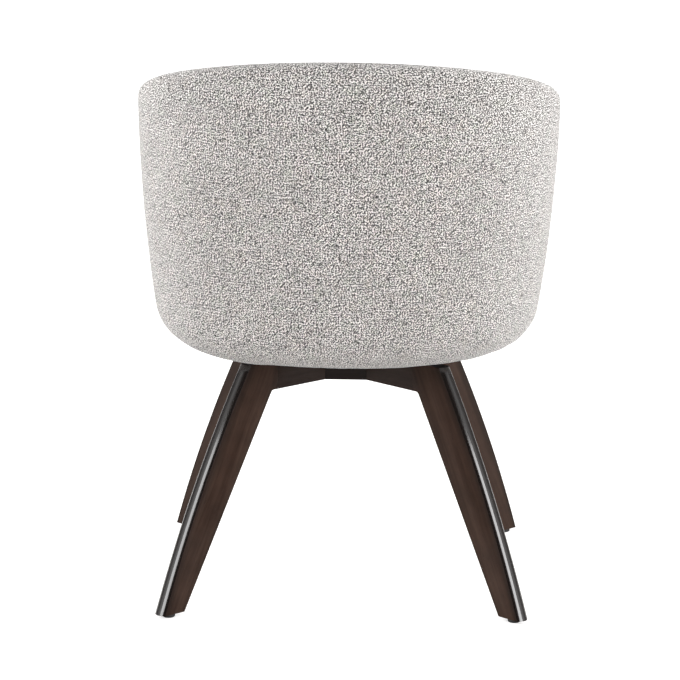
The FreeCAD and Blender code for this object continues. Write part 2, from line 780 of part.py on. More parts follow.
def rim_height(angle, past_corner=0.0):
    """The rim: a slope that climbs to the back, falls along the arms and rounds their fronts."""
    depth = point_at(angle, mm.tub_half_width, tub_widest.number).y
    height = tub_bottom.number + mm.rim_rise + RIM_CLIMB_SHARE * depth
    if depth < 0:
        height -= depth ** 2 / mm.arm_fall_length
    turned = abs(angle) - ARM_END_ANGLE
    run = math.radians(turned) * mm.tub_half_width + past_corner
    run += mm.arm_corner_length - mm.facing_depth
    if run > 0:
        height -= mm.arm_corner_radius - math.sqrt(mm.arm_corner_radius ** 2 - run ** 2)
    return height


def rim_radius():
    return mm.cover_padding + mm.frame_wall


def roll_start():
    """Where the roll under the tub's bottom edge meets its side: side, height and centre."""
    height = tub_bottom.number + mm.bottom_roll_radius
    lean = math.asin((tub_widest.number - height) / mm.tub_side_radius)
    height -= mm.bottom_roll_radius * math.sin(lean)
    side = side_at(height)
    return side, height, side - mm.bottom_roll_radius * math.cos(lean)


def roll_point(centre, turn):
    """A point of the bottom roll, turned in degrees from straight down."""
    swing = math.radians(turn)
    return (centre + mm.bottom_roll_radius * math.sin(swing),
            tub_bottom.number + mm.bottom_roll_radius * (1 - math.cos(swing)))


def board_half_width():
    return side_at(board_bottom.number) - mm.board_inset


def foot_outer():
    return board_half_width() + mm.soft_gap + mm.frame_wall


def frame_side(height):
    """The frame shell's outer face: it flares from the board's edge, then follows the tub."""
    knee_side = side_at(frame_knee_height.number) - mm.cover_padding
    if height >= frame_knee_height.number:
        return side_at(height) - mm.cover_padding
    climb = (height - board_bottom.number) / (frame_knee_height.number - board_bottom.number)
    return foot_outer() + (knee_side - foot_outer()) * climb


def inner_side(height):
    """The inner padding's face below the lumbar height."""
    low = side_at(deck_bottom.number) - mm.inner_foot_depth
    high = side_at(lumbar_height.number) - mm.wall_thickness - mm.lumbar_bulge
    climb = (height - deck_bottom.number) / (lumbar_height.number - deck_bottom.number)
    return low + (high - low) * climb


def wire_at(angle, stretches, shift=None):
    """A closed wire from stretches of (side, height) points: two make a line, three an arc."""
    shift = shift or FreeCAD.Vector(0, 0, 0)
    edges = []
    for stretch in stretches:
        points = [point_at(angle, side, height) + shift for side, height in stretch]
        if len(points) == 2:
            edges.append(Part.LineSegment(*points).toShape())
        else:
            edges.append(Part.Arc(*points).toShape())
    return Part.Wire(edges)


def joined(points, bends):
    """Stretches between points in turn; a bend, where there is one, is an arc's middle."""
    stretches = []
    for index, (point, bend) in enumerate(zip(points, bends)):
        after = points[(index + 1) % len(points)]
        stretches.append((point, after) if bend is None else (point, bend, after))
    return stretches


def frame_face(low, high, offset):
    """The bend of the frame shell's face between two heights, moved by an offset."""
    middle = (low + high) / 2
    return frame_side(middle) + offset, middle


def cover_profile(angle):
    """The outer cover with its wadding: under the tub, up the outside and over the rim."""
    side, start, centre = roll_start()
    rim = rim_height(angle)
    shoulder = rim - rim_radius()
    top_side = side_at(shoulder)
    lip = centre - mm.bottom_roll_lip
    under = board_bottom.number - mm.soft_gap
    frame_top = rim - mm.rim_padding
    above_frame = frame_top + mm.soft_gap
    knee = frame_knee_height.number
    middle = (start + shoulder) / 2
    eighth = rim_radius() * math.sqrt(0.5)
    points = [
        (lip, under), (lip, tub_bottom.number), (centre, tub_bottom.number), (side, start),
        (top_side, shoulder), (top_side - rim_radius(), rim), (top_side - rim_radius(), above_frame),
        (frame_side(frame_top) + mm.soft_gap, above_frame),
        (frame_side(knee) + mm.soft_gap, knee), (foot_outer() + mm.soft_gap, under),
    ]
    bends = [
        None, None, roll_point(centre, 45.0), (side_at(middle), middle),
        (top_side - rim_radius() + eighth, shoulder + eighth), None, None,
        frame_face(knee, frame_top, mm.soft_gap), None, None,
    ]
    return joined(points, bends)


def pad_profile(angle):
    """The inner padding: from the seat deck up the inside and over to the rim's seam."""
    rim = rim_height(angle)
    top_side = side_at(rim - rim_radius())
    seam_side = top_side - rim_radius() - mm.soft_gap
    radius = mm.wall_thickness - rim_radius() - mm.soft_gap
    shoulder = rim - mm.soft_gap - radius
    frame_top = rim - mm.rim_padding
    knee = frame_knee_height.number
    back = -(mm.frame_wall + mm.soft_gap)
    bottom = deck_bottom.number
    middle = (lumbar_height.number + shoulder) / 2
    eighth = radius * math.sqrt(0.5)
    points = [
        (frame_side(bottom) + back, bottom), (inner_side(bottom), bottom),
        (inner_side(lumbar_height.number), lumbar_height.number), (seam_side - radius, shoulder),
        (seam_side, rim - mm.soft_gap), (frame_side(frame_top) + back, frame_top),
        (frame_side(knee) + back, knee),
    ]
    bends = [
        None, None, (side_at(middle) - mm.wall_thickness - mm.lumbar_bulge, middle),
        (seam_side - eighth, shoulder + eighth), None, frame_face(knee, frame_top, back), None,
    ]
    return joined(points, bends)


def frame_profile(angle):
    """The moulded frame shell that both paddings are glued to."""
    foot = board_bottom.number
    knee = frame_knee_height.number
    top = rim_height(angle) - mm.rim_padding
    inside = -mm.frame_wall
    points = [
        (foot_outer() + inside, foot), (foot_outer(), foot), (frame_side(knee), knee),
        (frame_side(top), top), (frame_side(top) + inside, top), (frame_side(knee) + inside, knee),
    ]
    bends = [None, None, frame_face(knee, top, 0), None, frame_face(knee, top, inside), None]
    return joined(points, bends)


def rail_profile():
    """The front rail: the frame shell's foot, only as high as the seat deck."""
    foot = board_bottom.number
    top = deck_top.number
    inside = -mm.frame_wall
    points = [
        (foot_outer() + inside, foot), (foot_outer(), foot), (frame_side(top), top),
        (frame_side(top) + inside, top),
    ]
    return joined(points, [None] * len(points))


def band_turn():
    """How far round the bottom roll the front band goes before its top edge, in degrees."""
    height = deck_top.number - mm.band_edge_radius - tub_bottom.number
    return math.degrees(math.acos(1 - height / mm.bottom_roll_radius))


def band_shoulder():
    """The front band's outermost point, where its top edge starts."""
    _, _, centre = roll_start()
    return roll_point(centre, band_turn())


def band_profile():
    """The front band's padding: the bottom roll, up to a rounded top edge."""
    _, _, centre = roll_start()
    lip = centre - mm.bottom_roll_lip
    under = board_bottom.number - mm.soft_gap
    top = deck_top.number
    edge = mm.band_edge_radius
    shoulder = band_shoulder()
    eighth = edge * math.sqrt(0.5)
    points = [
        (lip, under), (lip, tub_bottom.number), (centre, tub_bottom.number), shoulder,
        (shoulder[0] - edge, top), (frame_side(top) + mm.soft_gap, top),
        (foot_outer() + mm.soft_gap, under),
    ]
    bends = [
        None, None, roll_point(centre, band_turn() / 2),
        (shoulder[0] - edge + eighth, top - edge + eighth), None, None, None,
    ]
    return joined(points, bends)


def wall_angles():
    """Angles of the wall's sections, closer together where the arms' fronts round off."""
    inner = ARM_END_ANGLE - CORNER_ANGLE_STEP * CORNER_STEPS
    spread = [inner * (2 * step / WALL_SECTIONS - 1) for step in range(WALL_SECTIONS + 1)]
    closing = [inner + CORNER_ANGLE_STEP * (step + 1) for step in range(CORNER_STEPS)]
    return [-angle for angle in reversed(closing)] + spread + closing


def wall_loft(profile):
    """A solid through the wall's sections, from one arm's front round the back to the other."""
    sections = [wire_at(angle, profile(angle)) for angle in wall_angles()]
    return Part.makeLoft(sections, True, False)


def front_loft(profile):
    """A solid round the front, between the two ends of the wall."""
    gap = math.degrees(mm.soft_gap / mm.tub_half_width)
    start = ARM_END_ANGLE + gap
    sweep = FULL_TURN - 2 * start
    angles = [start + sweep * step / BAND_SECTIONS for step in range(BAND_SECTIONS + 1)]
    return Part.makeLoft([wire_at(angle, profile) for angle in angles], True, False)


def facing_profile(angle, inset, rim):
    """The outline of an arm's front above the front band, drawn in by an inset."""
    shoulder = rim - rim_radius()
    top_side = side_at(shoulder)
    crest = top_side - rim_radius()
    outer = rim_radius() - inset
    radius = mm.wall_thickness - rim_radius()
    inner = radius - inset
    bottom = cushion_bottom.number + inset * FACING_INSET_SHARE
    centre_low = rim - radius
    outer_middle = (bottom + shoulder) / 2
    lumbar = lumbar_height.number
    inner_middle = (lumbar + centre_low) / 2
    points = [
        (side_at(bottom) - inset, bottom), (crest + outer, shoulder), (crest, rim - inset),
        (crest - inner, centre_low), (inner_side(lumbar) + inset, lumbar),
        (inner_side(bottom) + inset, bottom),
    ]
    bends = [
        (side_at(outer_middle) - inset, outer_middle),
        (crest + outer * math.sqrt(0.5), shoulder + outer * math.sqrt(0.5)),
        (crest - inner * math.sqrt(0.5), centre_low + inner * math.sqrt(0.5)),
        (side_at(inner_middle) - mm.wall_thickness - mm.lumbar_bulge + inset, inner_middle),
        None, None,
    ]
    return joined(points, bends)


def make_facing(name, angle):
    """The padded front of an arm: full at the wall, drawn in to a rounded nose."""
    turn = math.radians(angle)
    side = math.copysign(1, angle)
    forward = FreeCAD.Vector(side * math.cos(turn), -abs(math.sin(turn)), 0)
    sections = []
    for depth_part, inset_part in FACING_STEP_SHARES:
        depth = mm.soft_gap + mm.facing_depth * depth_part
        inset = rim_radius() * FACING_INSET_SHARE * inset_part
        rim = rim_height(angle, depth)
        sections.append(wire_at(angle, facing_profile(angle, inset, rim), forward * depth))
    keep(name, shaped(name, Part.makeLoft(sections, True, False)))


def half_oval(side, share, first, last):
    """One half of an oval in plan, from angle to angle, as an edge."""
    depth = side * share
    long_way, short_way = max(side, depth), min(side, depth)
    oval = Part.Ellipse(FreeCAD.Vector(0, 0, 0), long_way, short_way)
    if depth > side:
        oval.rotate(FreeCAD.Placement(FreeCAD.Vector(0, 0, 0), FreeCAD.Rotation(UP, 90.0)))
    return Part.ArcOfEllipse(oval, math.radians(first), math.radians(last)).toShape()


def oval_plate(side, bottom, thickness):
    """A flat plate with the tub's plan at its bottom."""
    back = half_oval(side, BACK_LOW_SHARE, 0.0, 180.0)
    front = half_oval(side, FRONT_SHARE, 180.0, FULL_TURN)
    face = Part.Face(Part.Wire([back, front]))
    face.translate(FreeCAD.Vector(0, 0, bottom))
    return face.extrude(FreeCAD.Vector(0, 0, thickness))


def frame_screw_angles():
    """Angles from the back of the screws through the frame and the front rail."""
    sweep = 2 * ARM_END_ANGLE
    for step in range(BACK_FRAME_SCREWS):
        yield -ARM_END_ANGLE + sweep * (step + 0.5) / BACK_FRAME_SCREWS
    sweep = FULL_TURN - 2 * ARM_END_ANGLE
    for step in range(FRONT_FRAME_SCREWS):
        yield ARM_END_ANGLE + sweep * (step + 0.5) / FRONT_FRAME_SCREWS


def along_screw(angle, radius, outer, inner):
    """A cylinder that lies on a frame screw's line, between two depths under the frame's face."""
    middle = (board_bottom.number + board_top.number) / 2
    face = point_at(angle, frame_side(middle), middle)
    inwards = FreeCAD.Vector(-face.x, -face.y, 0).normalize()
    return Part.makeCylinder(radius, inner - outer, face + inwards * outer, inwards)


def frame_screw_parts():
    """Each screw's own solid, with the hole it needs."""
    head_top = mm.frame_screw_sink
    head_bottom = head_top + mm.frame_screw_head_height
    for angle in frame_screw_angles():
        head = along_screw(angle, mm.frame_screw_head_radius, head_top, head_bottom)
        tip = head_bottom + mm.frame_screw_length
        shank = along_screw(angle, mm.frame_screw_radius, head_bottom, tip)
        wide = along_screw(angle, mm.frame_screw_head_radius + mm.fit_gap, -mm.frame_wall, head_bottom)
        slim = along_screw(angle, mm.frame_screw_radius + mm.fit_gap, 0, tip + mm.dowel_end_gap)
        yield head.fuse(shank).removeSplitter(), wide.fuse(slim)


def make_board():
    """The seat board, holed for the pivot's head, the tee nuts and the frame screws."""
    blank = shaped("board_blank", oval_plate(board_half_width(), board_bottom.number, mm.board_thickness))
    tools = [cylinder("board_centre", size.board_centre_hole, size.board_thickness + size.overrun * 2,
                      z=board_bottom - size.overrun)]
    tools += at_corners("board_nut_hole", seat_bolt_spread, size.tee_nut_barrel_radius + size.fit_gap,
                        size.board_thickness + size.overrun * 2, board_bottom - size.overrun)
    tools += at_corners("board_flange_hole", seat_bolt_spread,
                        size.tee_nut_flange_radius + size.fit_gap,
                        size.tee_nut_flange_thickness + size.overrun,
                        board_top - size.tee_nut_flange_thickness)
    tools.append(shaped("board_screw_holes", Part.makeCompound([hole for _, hole in frame_screw_parts()])))
    keep("seat_board", cut("seat_board", blank, tools))


def make_frame():
    """The bent frame shell and the front rail, screwed to the board's edge."""
    screws, holes = zip(*frame_screw_parts())
    tools = Part.makeCompound(list(holes))
    keep("tub_frame", shaped("tub_frame", wall_loft(frame_profile).cut(tools)))
    keep("front_rail", shaped("front_rail", front_loft(rail_profile()).cut(tools)))
    keep("frame_screws", shaped("frame_screws", Part.makeCompound(list(screws))))


def seat_plan(side, back_share, wing_side, front_share, step_forward, notch_radius, wing_radius):
    """Plan points of a seat pad that fills the tub and wings out in front of the arms.

    The way runs from the left arm round the back to the right arm, out along the arm's
    front, and back round the front edge. Arcs are given as three points.
    """
    def inside(angle):
        share = FRONT_SHARE if abs(angle) > 90 else back_share
        reach = reach_at(angle, side, share)
        return FreeCAD.Vector(reach * math.sin(math.radians(angle)), reach * math.cos(math.radians(angle)), 0)

    def outside(angle):
        reach = reach_at(angle, wing_side, front_share)
        return FreeCAD.Vector(reach * math.sin(math.radians(angle)), reach * math.cos(math.radians(angle)), 0)

    end = ARM_END_ANGLE
    notch = end + math.degrees(math.asin(step_forward / inside(end).Length))
    wing = end + math.degrees(math.asin(step_forward / outside(end).Length))
    soft = 1 - math.sqrt(0.5)

    inner_start = notch - math.degrees(notch_radius / inside(notch).Length)
    outer_start = wing + math.degrees(wing_radius / outside(wing).Length)
    stretches = []
    for step in range(SEAT_BACK_ARCS):
        first = inner_start * (2 * step / SEAT_BACK_ARCS - 1)
        last = inner_start * (2 * (step + 1) / SEAT_BACK_ARCS - 1)
        stretches.append((inside(first), inside((first + last) / 2), inside(last)))
    outwards = FreeCAD.Vector(math.sin(math.radians(end)), math.cos(math.radians(end)), 0)
    corner = inside(notch)
    tip = outside(wing)
    notch_end = corner + outwards * notch_radius
    notch_middle = corner + (inside(inner_start) - corner + outwards * notch_radius) * soft
    wing_start = tip - outwards * wing_radius
    wing_middle = tip + (outside(outer_start) - tip - outwards * wing_radius) * soft
    right = [
        (inside(inner_start), notch_middle, notch_end),
        (notch_end, wing_start),
        (wing_start, wing_middle, outside(outer_start)),
    ]
    stretches += right
    sweep = FULL_TURN - 2 * outer_start
    for step in range(SEAT_FRONT_ARCS):
        first = outer_start + sweep * step / SEAT_FRONT_ARCS
        last = outer_start + sweep * (step + 1) / SEAT_FRONT_ARCS
        stretches.append((outside(first), outside((first + last) / 2), outside(last)))
    for stretch in reversed(right):
        stretches.append(tuple(FreeCAD.Vector(-point.x, point.y, 0) for point in reversed(stretch)))
    return stretches


def seat_wire(stretches, share, height, oval_share=0.0):
    """A seat plan as a wire at a height, drawn in towards its middle by a share.

    The oval share takes the notches out of the plan, for the levels near a crown.
    """
    middle = FreeCAD.Vector(0, -mm.cushion_centre_forward, 0)
    lift = FreeCAD.Vector(0, 0, height)

    def drawn_in(point):
        spoke_out = point - middle
        angle = math.degrees(math.atan2(spoke_out.x, spoke_out.y))
        reach = reach_at(angle, board_half_width(), 1)
        oval = FreeCAD.Vector(spoke_out).normalize() * reach
        return middle + (spoke_out * (1 - oval_share) + oval * oval_share) * share + lift

    edges = []
    for stretch in stretches:
        points = [drawn_in(point) for point in stretch]
        curve = Part.LineSegment(*points) if len(points) == 2 else Part.Arc(*points)
        edges.append(curve.toShape())
    return Part.Wire(edges)


def make_deck():
    """The foam sheet on the board that the cushion lies on."""
    side = inner_side(deck_bottom.number) - mm.deck_gap
    wing = frame_side(deck_bottom.number) - mm.frame_wall - mm.rail_clearance
    plan = seat_plan(side, BACK_LOW_SHARE, wing, FRONT_SHARE, mm.deck_gap,
                     mm.deck_gap, mm.rail_clearance)
    face = Part.Face(seat_wire(plan, 1, deck_bottom.number))
    keep("deck_foam", shaped("deck_foam", face.extrude(UP * mm.deck_thickness)))


def make_cushion():
    """The loose seat cushion: drawn-in sides, a crown, and wings in front of the arms."""
    girth = cushion_bottom.number + mm.cushion_height * CUSHION_GIRTH_SHARE
    side = inner_side(girth) - mm.cushion_gap
    share = depth_share(0.0, girth) - mm.cushion_gap / side
    step_forward = mm.facing_depth + mm.cushion_gap + mm.soft_gap
    wing = side_at(girth) - mm.cushion_wing_setback
    front_share = (band_shoulder()[0] * FRONT_SHARE + mm.cushion_overhang) / wing
    plan = seat_plan(side, share, wing, front_share, step_forward, mm.notch_radius, mm.wing_radius)
    sections = []
    for height_share, plan_share, oval_share in CUSHION_LEVEL_SHARES:
        height = cushion_bottom.number + mm.cushion_height * height_share
        sections.append(seat_wire(plan, plan_share, height, oval_share))
    keep("seat_cushion", shaped("seat_cushion", Part.makeLoft(sections, True, True)))


def make_dust_cover():
    """The black cloth under the seat, with a window for the swivel plate, and its staples."""
    _, _, centre = roll_start()
    side = centre - mm.bottom_roll_lip - mm.dust_cover_margin
    bottom = board_bottom.number - mm.dust_cover_thickness
    cloth = oval_plate(side, bottom, mm.dust_cover_thickness)
    window_width = mm.top_plate_width + 2 * mm.dust_cover_window_gap
    half = window_width / 2
    start = FreeCAD.Vector(-half, -half, bottom - mm.overrun)
    depth = mm.dust_cover_thickness + 2 * mm.overrun
    window = Part.makeBox(window_width, window_width, depth, start)
    keep("dust_cover", shaped("dust_cover", cloth.cut(window)))
    staples = []
    wire = mm.staple_wire
    for index in range(STAPLE_COUNT):
        angle = FULL_TURN * (index + 0.5) / STAPLE_COUNT
        share = FRONT_SHARE if math.cos(math.radians(angle)) < 0 else BACK_LOW_SHARE
        reach = reach_at(angle, side, share) - mm.staple_inset
        crown = Part.makeBox(mm.staple_width, wire, wire,
                             FreeCAD.Vector(-mm.staple_width / 2, reach, bottom - wire))
        staple = crown
        for start_x in (-mm.staple_width / 2, mm.staple_width / 2 - wire):
            leg_start = FreeCAD.Vector(start_x, reach, bottom - wire)
            staple = staple.fuse(Part.makeBox(wire, wire, wire + mm.staple_leg, leg_start))
        staple = staple.removeSplitter()
        staple.rotate(FreeCAD.Vector(0, 0, 0), UP, -angle)
        staples.append(staple)
    keep("dust_cover_staples", shaped("dust_cover_staples", Part.makeCompound(staples)))


def make_base():
    make_hub()
    for corner, angle in LEG_ANGLES.items():
        make_arm(corner, angle)
        make_leg(corner, angle)
        make_glide(corner, angle)
    joint_dowels("hub_dowels", hub_face)
    joint_dowels("leg_dowels", size.leg_joint_reach)


def make_swivel():
    make_bottom_plate()
    make_bottom_screws()
    make_bush()
    make_balls()
    make_cage()
    make_top_plate()
    make_pivot()
    make_stop_pin()
    make_seat_bolts()


def make_tub():
    make_board()
    make_frame()
    keep("outer_cover", shaped("outer_cover", wall_loft(cover_profile)))
    keep("inner_pad", shaped("inner_pad", wall_loft(pad_profile)))
    make_facing("arm_facing_left", -ARM_END_ANGLE)
    make_facing("arm_facing_right", ARM_END_ANGLE)
    keep("front_band", shaped("front_band", front_loft(band_profile())))
    make_deck()
    make_cushion()
    make_dust_cover()


make_base()
make_swivel()
make_tub()
doc.recompute()

for thing in doc.Objects:
    if "Invalid" in thing.State or "Error" in thing.State:
        raise RuntimeError(f"{thing.Label} failed: {thing.State}")
for name, piece in sub_parts.items():
    if piece.Shape.isNull() or not piece.Shape.isValid():
        raise RuntimeError(f"{name} has no valid shape")

os.makedirs("parts", exist_ok=True)
for name, piece in sub_parts.items():
    piece.Shape.exportStep(f"parts/{name}.step")

whole = Part.makeCompound([piece.Shape for piece in sub_parts.values()]).BoundBox
print(f"{len(sub_parts)} nodes, box {whole.XMin:.1f}..{whole.XMax:.1f}, "
      f"{whole.YMin:.1f}..{whole.YMax:.1f}, {whole.ZMin:.1f}..{whole.ZMax:.1f} mm")
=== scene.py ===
# %% [markdown]
# # A swivel armchair in tweed and stained wood
#
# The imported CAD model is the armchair's skeleton: every plate, leg, bolt and padded part is
# there at its real size. This lesson dresses it. Each soft part gets a fuller form and its
# cloth, the wooden parts get eased edges and their stain, and the metal parts get a finish.
# Lengths are in metres, +Z is up, and the chair faces -Y.

# %% Load the frame
import json
import math

import bmesh
import bpy
import numpy as np
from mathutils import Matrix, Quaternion, Vector, noise
from mathutils.bvhtree import BVHTree


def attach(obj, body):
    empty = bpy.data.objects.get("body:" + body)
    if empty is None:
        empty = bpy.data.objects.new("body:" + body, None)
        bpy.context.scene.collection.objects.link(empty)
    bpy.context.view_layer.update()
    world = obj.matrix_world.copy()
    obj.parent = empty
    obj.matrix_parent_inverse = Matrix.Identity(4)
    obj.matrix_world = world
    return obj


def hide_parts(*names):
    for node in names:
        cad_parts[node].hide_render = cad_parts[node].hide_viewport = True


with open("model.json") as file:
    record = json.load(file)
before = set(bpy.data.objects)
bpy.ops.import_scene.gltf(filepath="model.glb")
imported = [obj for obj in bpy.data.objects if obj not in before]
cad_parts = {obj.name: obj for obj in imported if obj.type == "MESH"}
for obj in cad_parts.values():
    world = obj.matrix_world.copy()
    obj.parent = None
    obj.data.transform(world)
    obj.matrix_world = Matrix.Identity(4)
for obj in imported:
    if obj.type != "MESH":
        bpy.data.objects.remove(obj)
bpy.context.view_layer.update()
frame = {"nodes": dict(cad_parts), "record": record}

MM = 0.001
cad_nodes = frame["nodes"]
scene = bpy.context.scene

# %% [markdown]
# ## Small helpers
#
# Shader trees and Geometry Nodes trees are both made of nodes with input sockets. One helper
# serves for both: it adds a node, sets its plain settings, and fills each input, with a value
# or with another node's output.

# %% Nodes
def add_node(tree, kind, inputs=None, **settings):
    """A new node; an input is a plain value, or an output socket that is linked to it."""
    node = tree.nodes.new(kind)
    for key, value in settings.items():
        setattr(node, key, value)
    for key, value in (inputs or {}).items():
        if isinstance(value, bpy.types.NodeSocket):
            tree.links.new(value, node.inputs[key])
        else:
            node.inputs[key].default_value = value
    return node


def calculate(tree, operation, *values):
    """A Math node's output."""
    return add_node(tree, "ShaderNodeMath", dict(enumerate(values)), operation=operation).outputs[0]


def combine(tree, operation, *vectors):
    """A Vector Math node's output."""
    inputs = dict(enumerate(vectors))
    return add_node(tree, "ShaderNodeVectorMath", inputs, operation=operation).outputs[0]


def spread(tree, value, low, high, to_low=0.0, to_high=1.0):
    """A smooth Map Range node's output."""
    inputs = {"Value": value, "From Min": low, "From Max": high, "To Min": to_low, "To Max": to_high}
    return add_node(tree, "ShaderNodeMapRange", inputs, interpolation_type="SMOOTHSTEP").outputs[0]


def ramp(tree, value, stops):
    """A Color Ramp's colour; stops are (position, grey or colour)."""
    node = add_node(tree, "ShaderNodeValToRGB", {"Fac": value})
    while len(node.color_ramp.elements) < len(stops):
        node.color_ramp.elements.new(0.5)
    for element, (position, colour) in zip(node.color_ramp.elements, stops):
        colour = (colour,) * 3 if isinstance(colour, float) else colour
        element.position = position
        element.color = (*colour, 1.0)
    return node.outputs["Color"]


def mixed(tree, share, first, second, blend="MIX"):
    """A colour Mix node's result."""
    node = add_node(tree, "ShaderNodeMix", data_type="RGBA", blend_type=blend)
    for socket, value in ((node.inputs[0], share), (node.inputs[6], first), (node.inputs[7], second)):
        if isinstance(value, bpy.types.NodeSocket):
            tree.links.new(value, socket)
        else:
            socket.default_value = (*value, 1.0) if isinstance(value, tuple) else value
    return node.outputs[2]


def times(tree, colour, factor):
    """A colour multiplied by a grey or another colour."""
    return mixed(tree, 1.0, colour, factor, "MULTIPLY")


def clouds(tree, place, scale, detail, output=0, **more):
    """A Noise Texture's value, or its output of another name."""
    inputs = {"Vector": place, "Scale": scale, "Detail": detail, **more}
    return add_node(tree, "ShaderNodeTexNoise", inputs).outputs[output]


def object_place(tree):
    """A point's place on the object, the same at every pose."""
    return add_node(tree, "ShaderNodeTexCoord").outputs["Object"]


def new_material(name, **sockets):
    """A material with one Principled shader; sockets given here are fixed all over it."""
    material = bpy.data.materials.new(name)
    material.use_nodes = True
    shader = material.node_tree.nodes["Principled BSDF"]
    for key, value in sockets.items():
        shader.inputs[key.replace("_", " ")].default_value = value
    return material, material.node_tree, shader


def wire_up(tree, shader, colour=None, roughness=None, height=None, depth=1 * MM, strength=1.0):
    """Links a material's colour, roughness and bump to its shader."""
    if colour is not None:
        tree.links.new(colour, shader.inputs["Base Color"])
    if roughness is not None:
        tree.links.new(roughness, shader.inputs["Roughness"])
    if height is not None:
        bump = add_node(tree, "ShaderNodeBump", {
            "Height": height, "Distance": depth, "Strength": strength})
        tree.links.new(bump.outputs[0], shader.inputs["Normal"])


print("node helpers ready")

# %% [markdown]
# ## The camera
#
# The photograph looks at the chair's back, from a little above and from far away, so the
# outlines hardly converge. The camera's place, its long lens and its slight roll come from
# fitting the four feet, the knees and the tub's outline.

# %% Camera
CAMERA_PLACE = Vector((-0.0575, 4.9600, 1.4077))
CAMERA_TARGET = Vector((0.0094, 0.0001, 0.3489))
CAMERA_ROLL = math.radians(0.64)
CAMERA_LENS = 184.87  # in millimetres, as is the sensor's width
SENSOR_WIDTH = 36.0

camera = bpy.data.objects.new("photo_camera", bpy.data.cameras.new("photo_camera"))
scene.collection.objects.link(camera)
camera.data.lens = CAMERA_LENS
camera.data.sensor_width = SENSOR_WIDTH
camera.location = CAMERA_PLACE
camera.rotation_mode = "QUATERNION"
aim = (CAMERA_TARGET - CAMERA_PLACE).to_track_quat("-Z", "Y")
camera.rotation_quaternion = aim @ Quaternion((0, 0, 1), CAMERA_ROLL)
scene.camera = camera
print("camera", camera.data.lens, "mm")

# %% [markdown]
# ## The studio
#
# A plain pale floor carries the chair and its shadow. Camera rays see a little extra light
# on the floor and a white world, so the background is as white as in the photograph without
# any more light on the chair. Two large side lamps brighten the tub's flanks, two strip
# lamps behind draw the long highlights on the legs, and weaker ones fill the back and front.

# %% Floor, world and lamps
GLOW_NEAR = 0.60
GLOW_FAR = 0.95
FLOOR_REACH = 30.0
FLOOR_COLOUR = (0.60, 0.59, 0.58, 1.0)


def make_floor():
    mesh = bpy.data.meshes.new("studio_floor")
    signs = ((-1, -1), (1, -1), (1, 1), (-1, 1))
    corners = [(x * FLOOR_REACH, y * FLOOR_REACH, 0) for x, y in signs]
    mesh.from_pydata(corners, [], [(0, 1, 2, 3)])
    floor = bpy.data.objects.new("studio_floor", mesh)
    scene.collection.objects.link(floor)
    material = bpy.data.materials.new("pale_floor")
    material.use_nodes = True
    tree = material.node_tree
    tree.nodes.clear()
    paint = add_node(tree, "ShaderNodeBsdfDiffuse", {"Color": FLOOR_COLOUR})
    rays = add_node(tree, "ShaderNodeLightPath")
    away = add_node(tree, "ShaderNodeVectorMath", {
        0: object_place(tree)}, operation="LENGTH").outputs["Value"]
    lift = calculate(tree, "MULTIPLY", rays.outputs["Is Camera Ray"],
                     spread(tree, away, 0.8, 3.0, GLOW_NEAR, GLOW_FAR))
    glow = add_node(tree, "ShaderNodeEmission", {"Color": (1, 1, 1, 1), "Strength": lift})
    both = add_node(tree, "ShaderNodeAddShader", {0: paint.outputs[0], 1: glow.outputs[0]})
    add_node(tree, "ShaderNodeOutputMaterial", {"Surface": both.outputs[0]})
    mesh.materials.append(material)


def make_world(ambient, dim, bright):
    """A white world for the camera; in reflections it is bright at the sides and dim elsewhere."""
    world = bpy.data.worlds.new("studio_world")
    world.use_nodes = True
    tree = world.node_tree
    tree.nodes.clear()
    rays = add_node(tree, "ShaderNodeLightPath")
    seen = calculate(
        tree, "MAXIMUM", rays.outputs["Is Camera Ray"], rays.outputs["Is Transmission Ray"])
    way = add_node(tree, "ShaderNodeSeparateXYZ", {
        0: add_node(tree, "ShaderNodeTexCoord").outputs["Generated"]}).outputs
    walls = spread(tree, calculate(tree, "ABSOLUTE", way[0]), 0.45, 0.92, dim, bright)
    walls = calculate(tree, "MULTIPLY", walls, spread(tree, way[1], -0.35, 0.25, 0.25, 1.0))
    change = calculate(tree, "SUBTRACT", walls, ambient)
    strength = calculate(tree, "MULTIPLY_ADD", change, rays.outputs["Is Glossy Ray"], ambient)
    strength = calculate(tree, "MAXIMUM", strength, seen)
    sky = add_node(tree, "ShaderNodeBackground", {"Color": (1, 1, 1, 1), "Strength": strength})
    add_node(tree, "ShaderNodeOutputWorld", {"Surface": sky.outputs[0]})
    scene.world = world


def make_lamp(name, place, target, width, height, power, mirrored=False):
    """An area lamp; only those that are meant to draw a highlight show in reflections."""
    lamp = bpy.data.lights.new(name, "AREA")
    lamp.shape = "RECTANGLE"
    lamp.size = width
    lamp.size_y = height
    lamp.energy = power
    holder = bpy.data.objects.new(name, lamp)
    scene.collection.objects.link(holder)
    holder.visible_glossy = mirrored
    holder.location = place
    holder.rotation_mode = "QUATERNION"
    holder.rotation_quaternion = (Vector(target) - Vector(place)).to_track_quat("-Z", "Y")


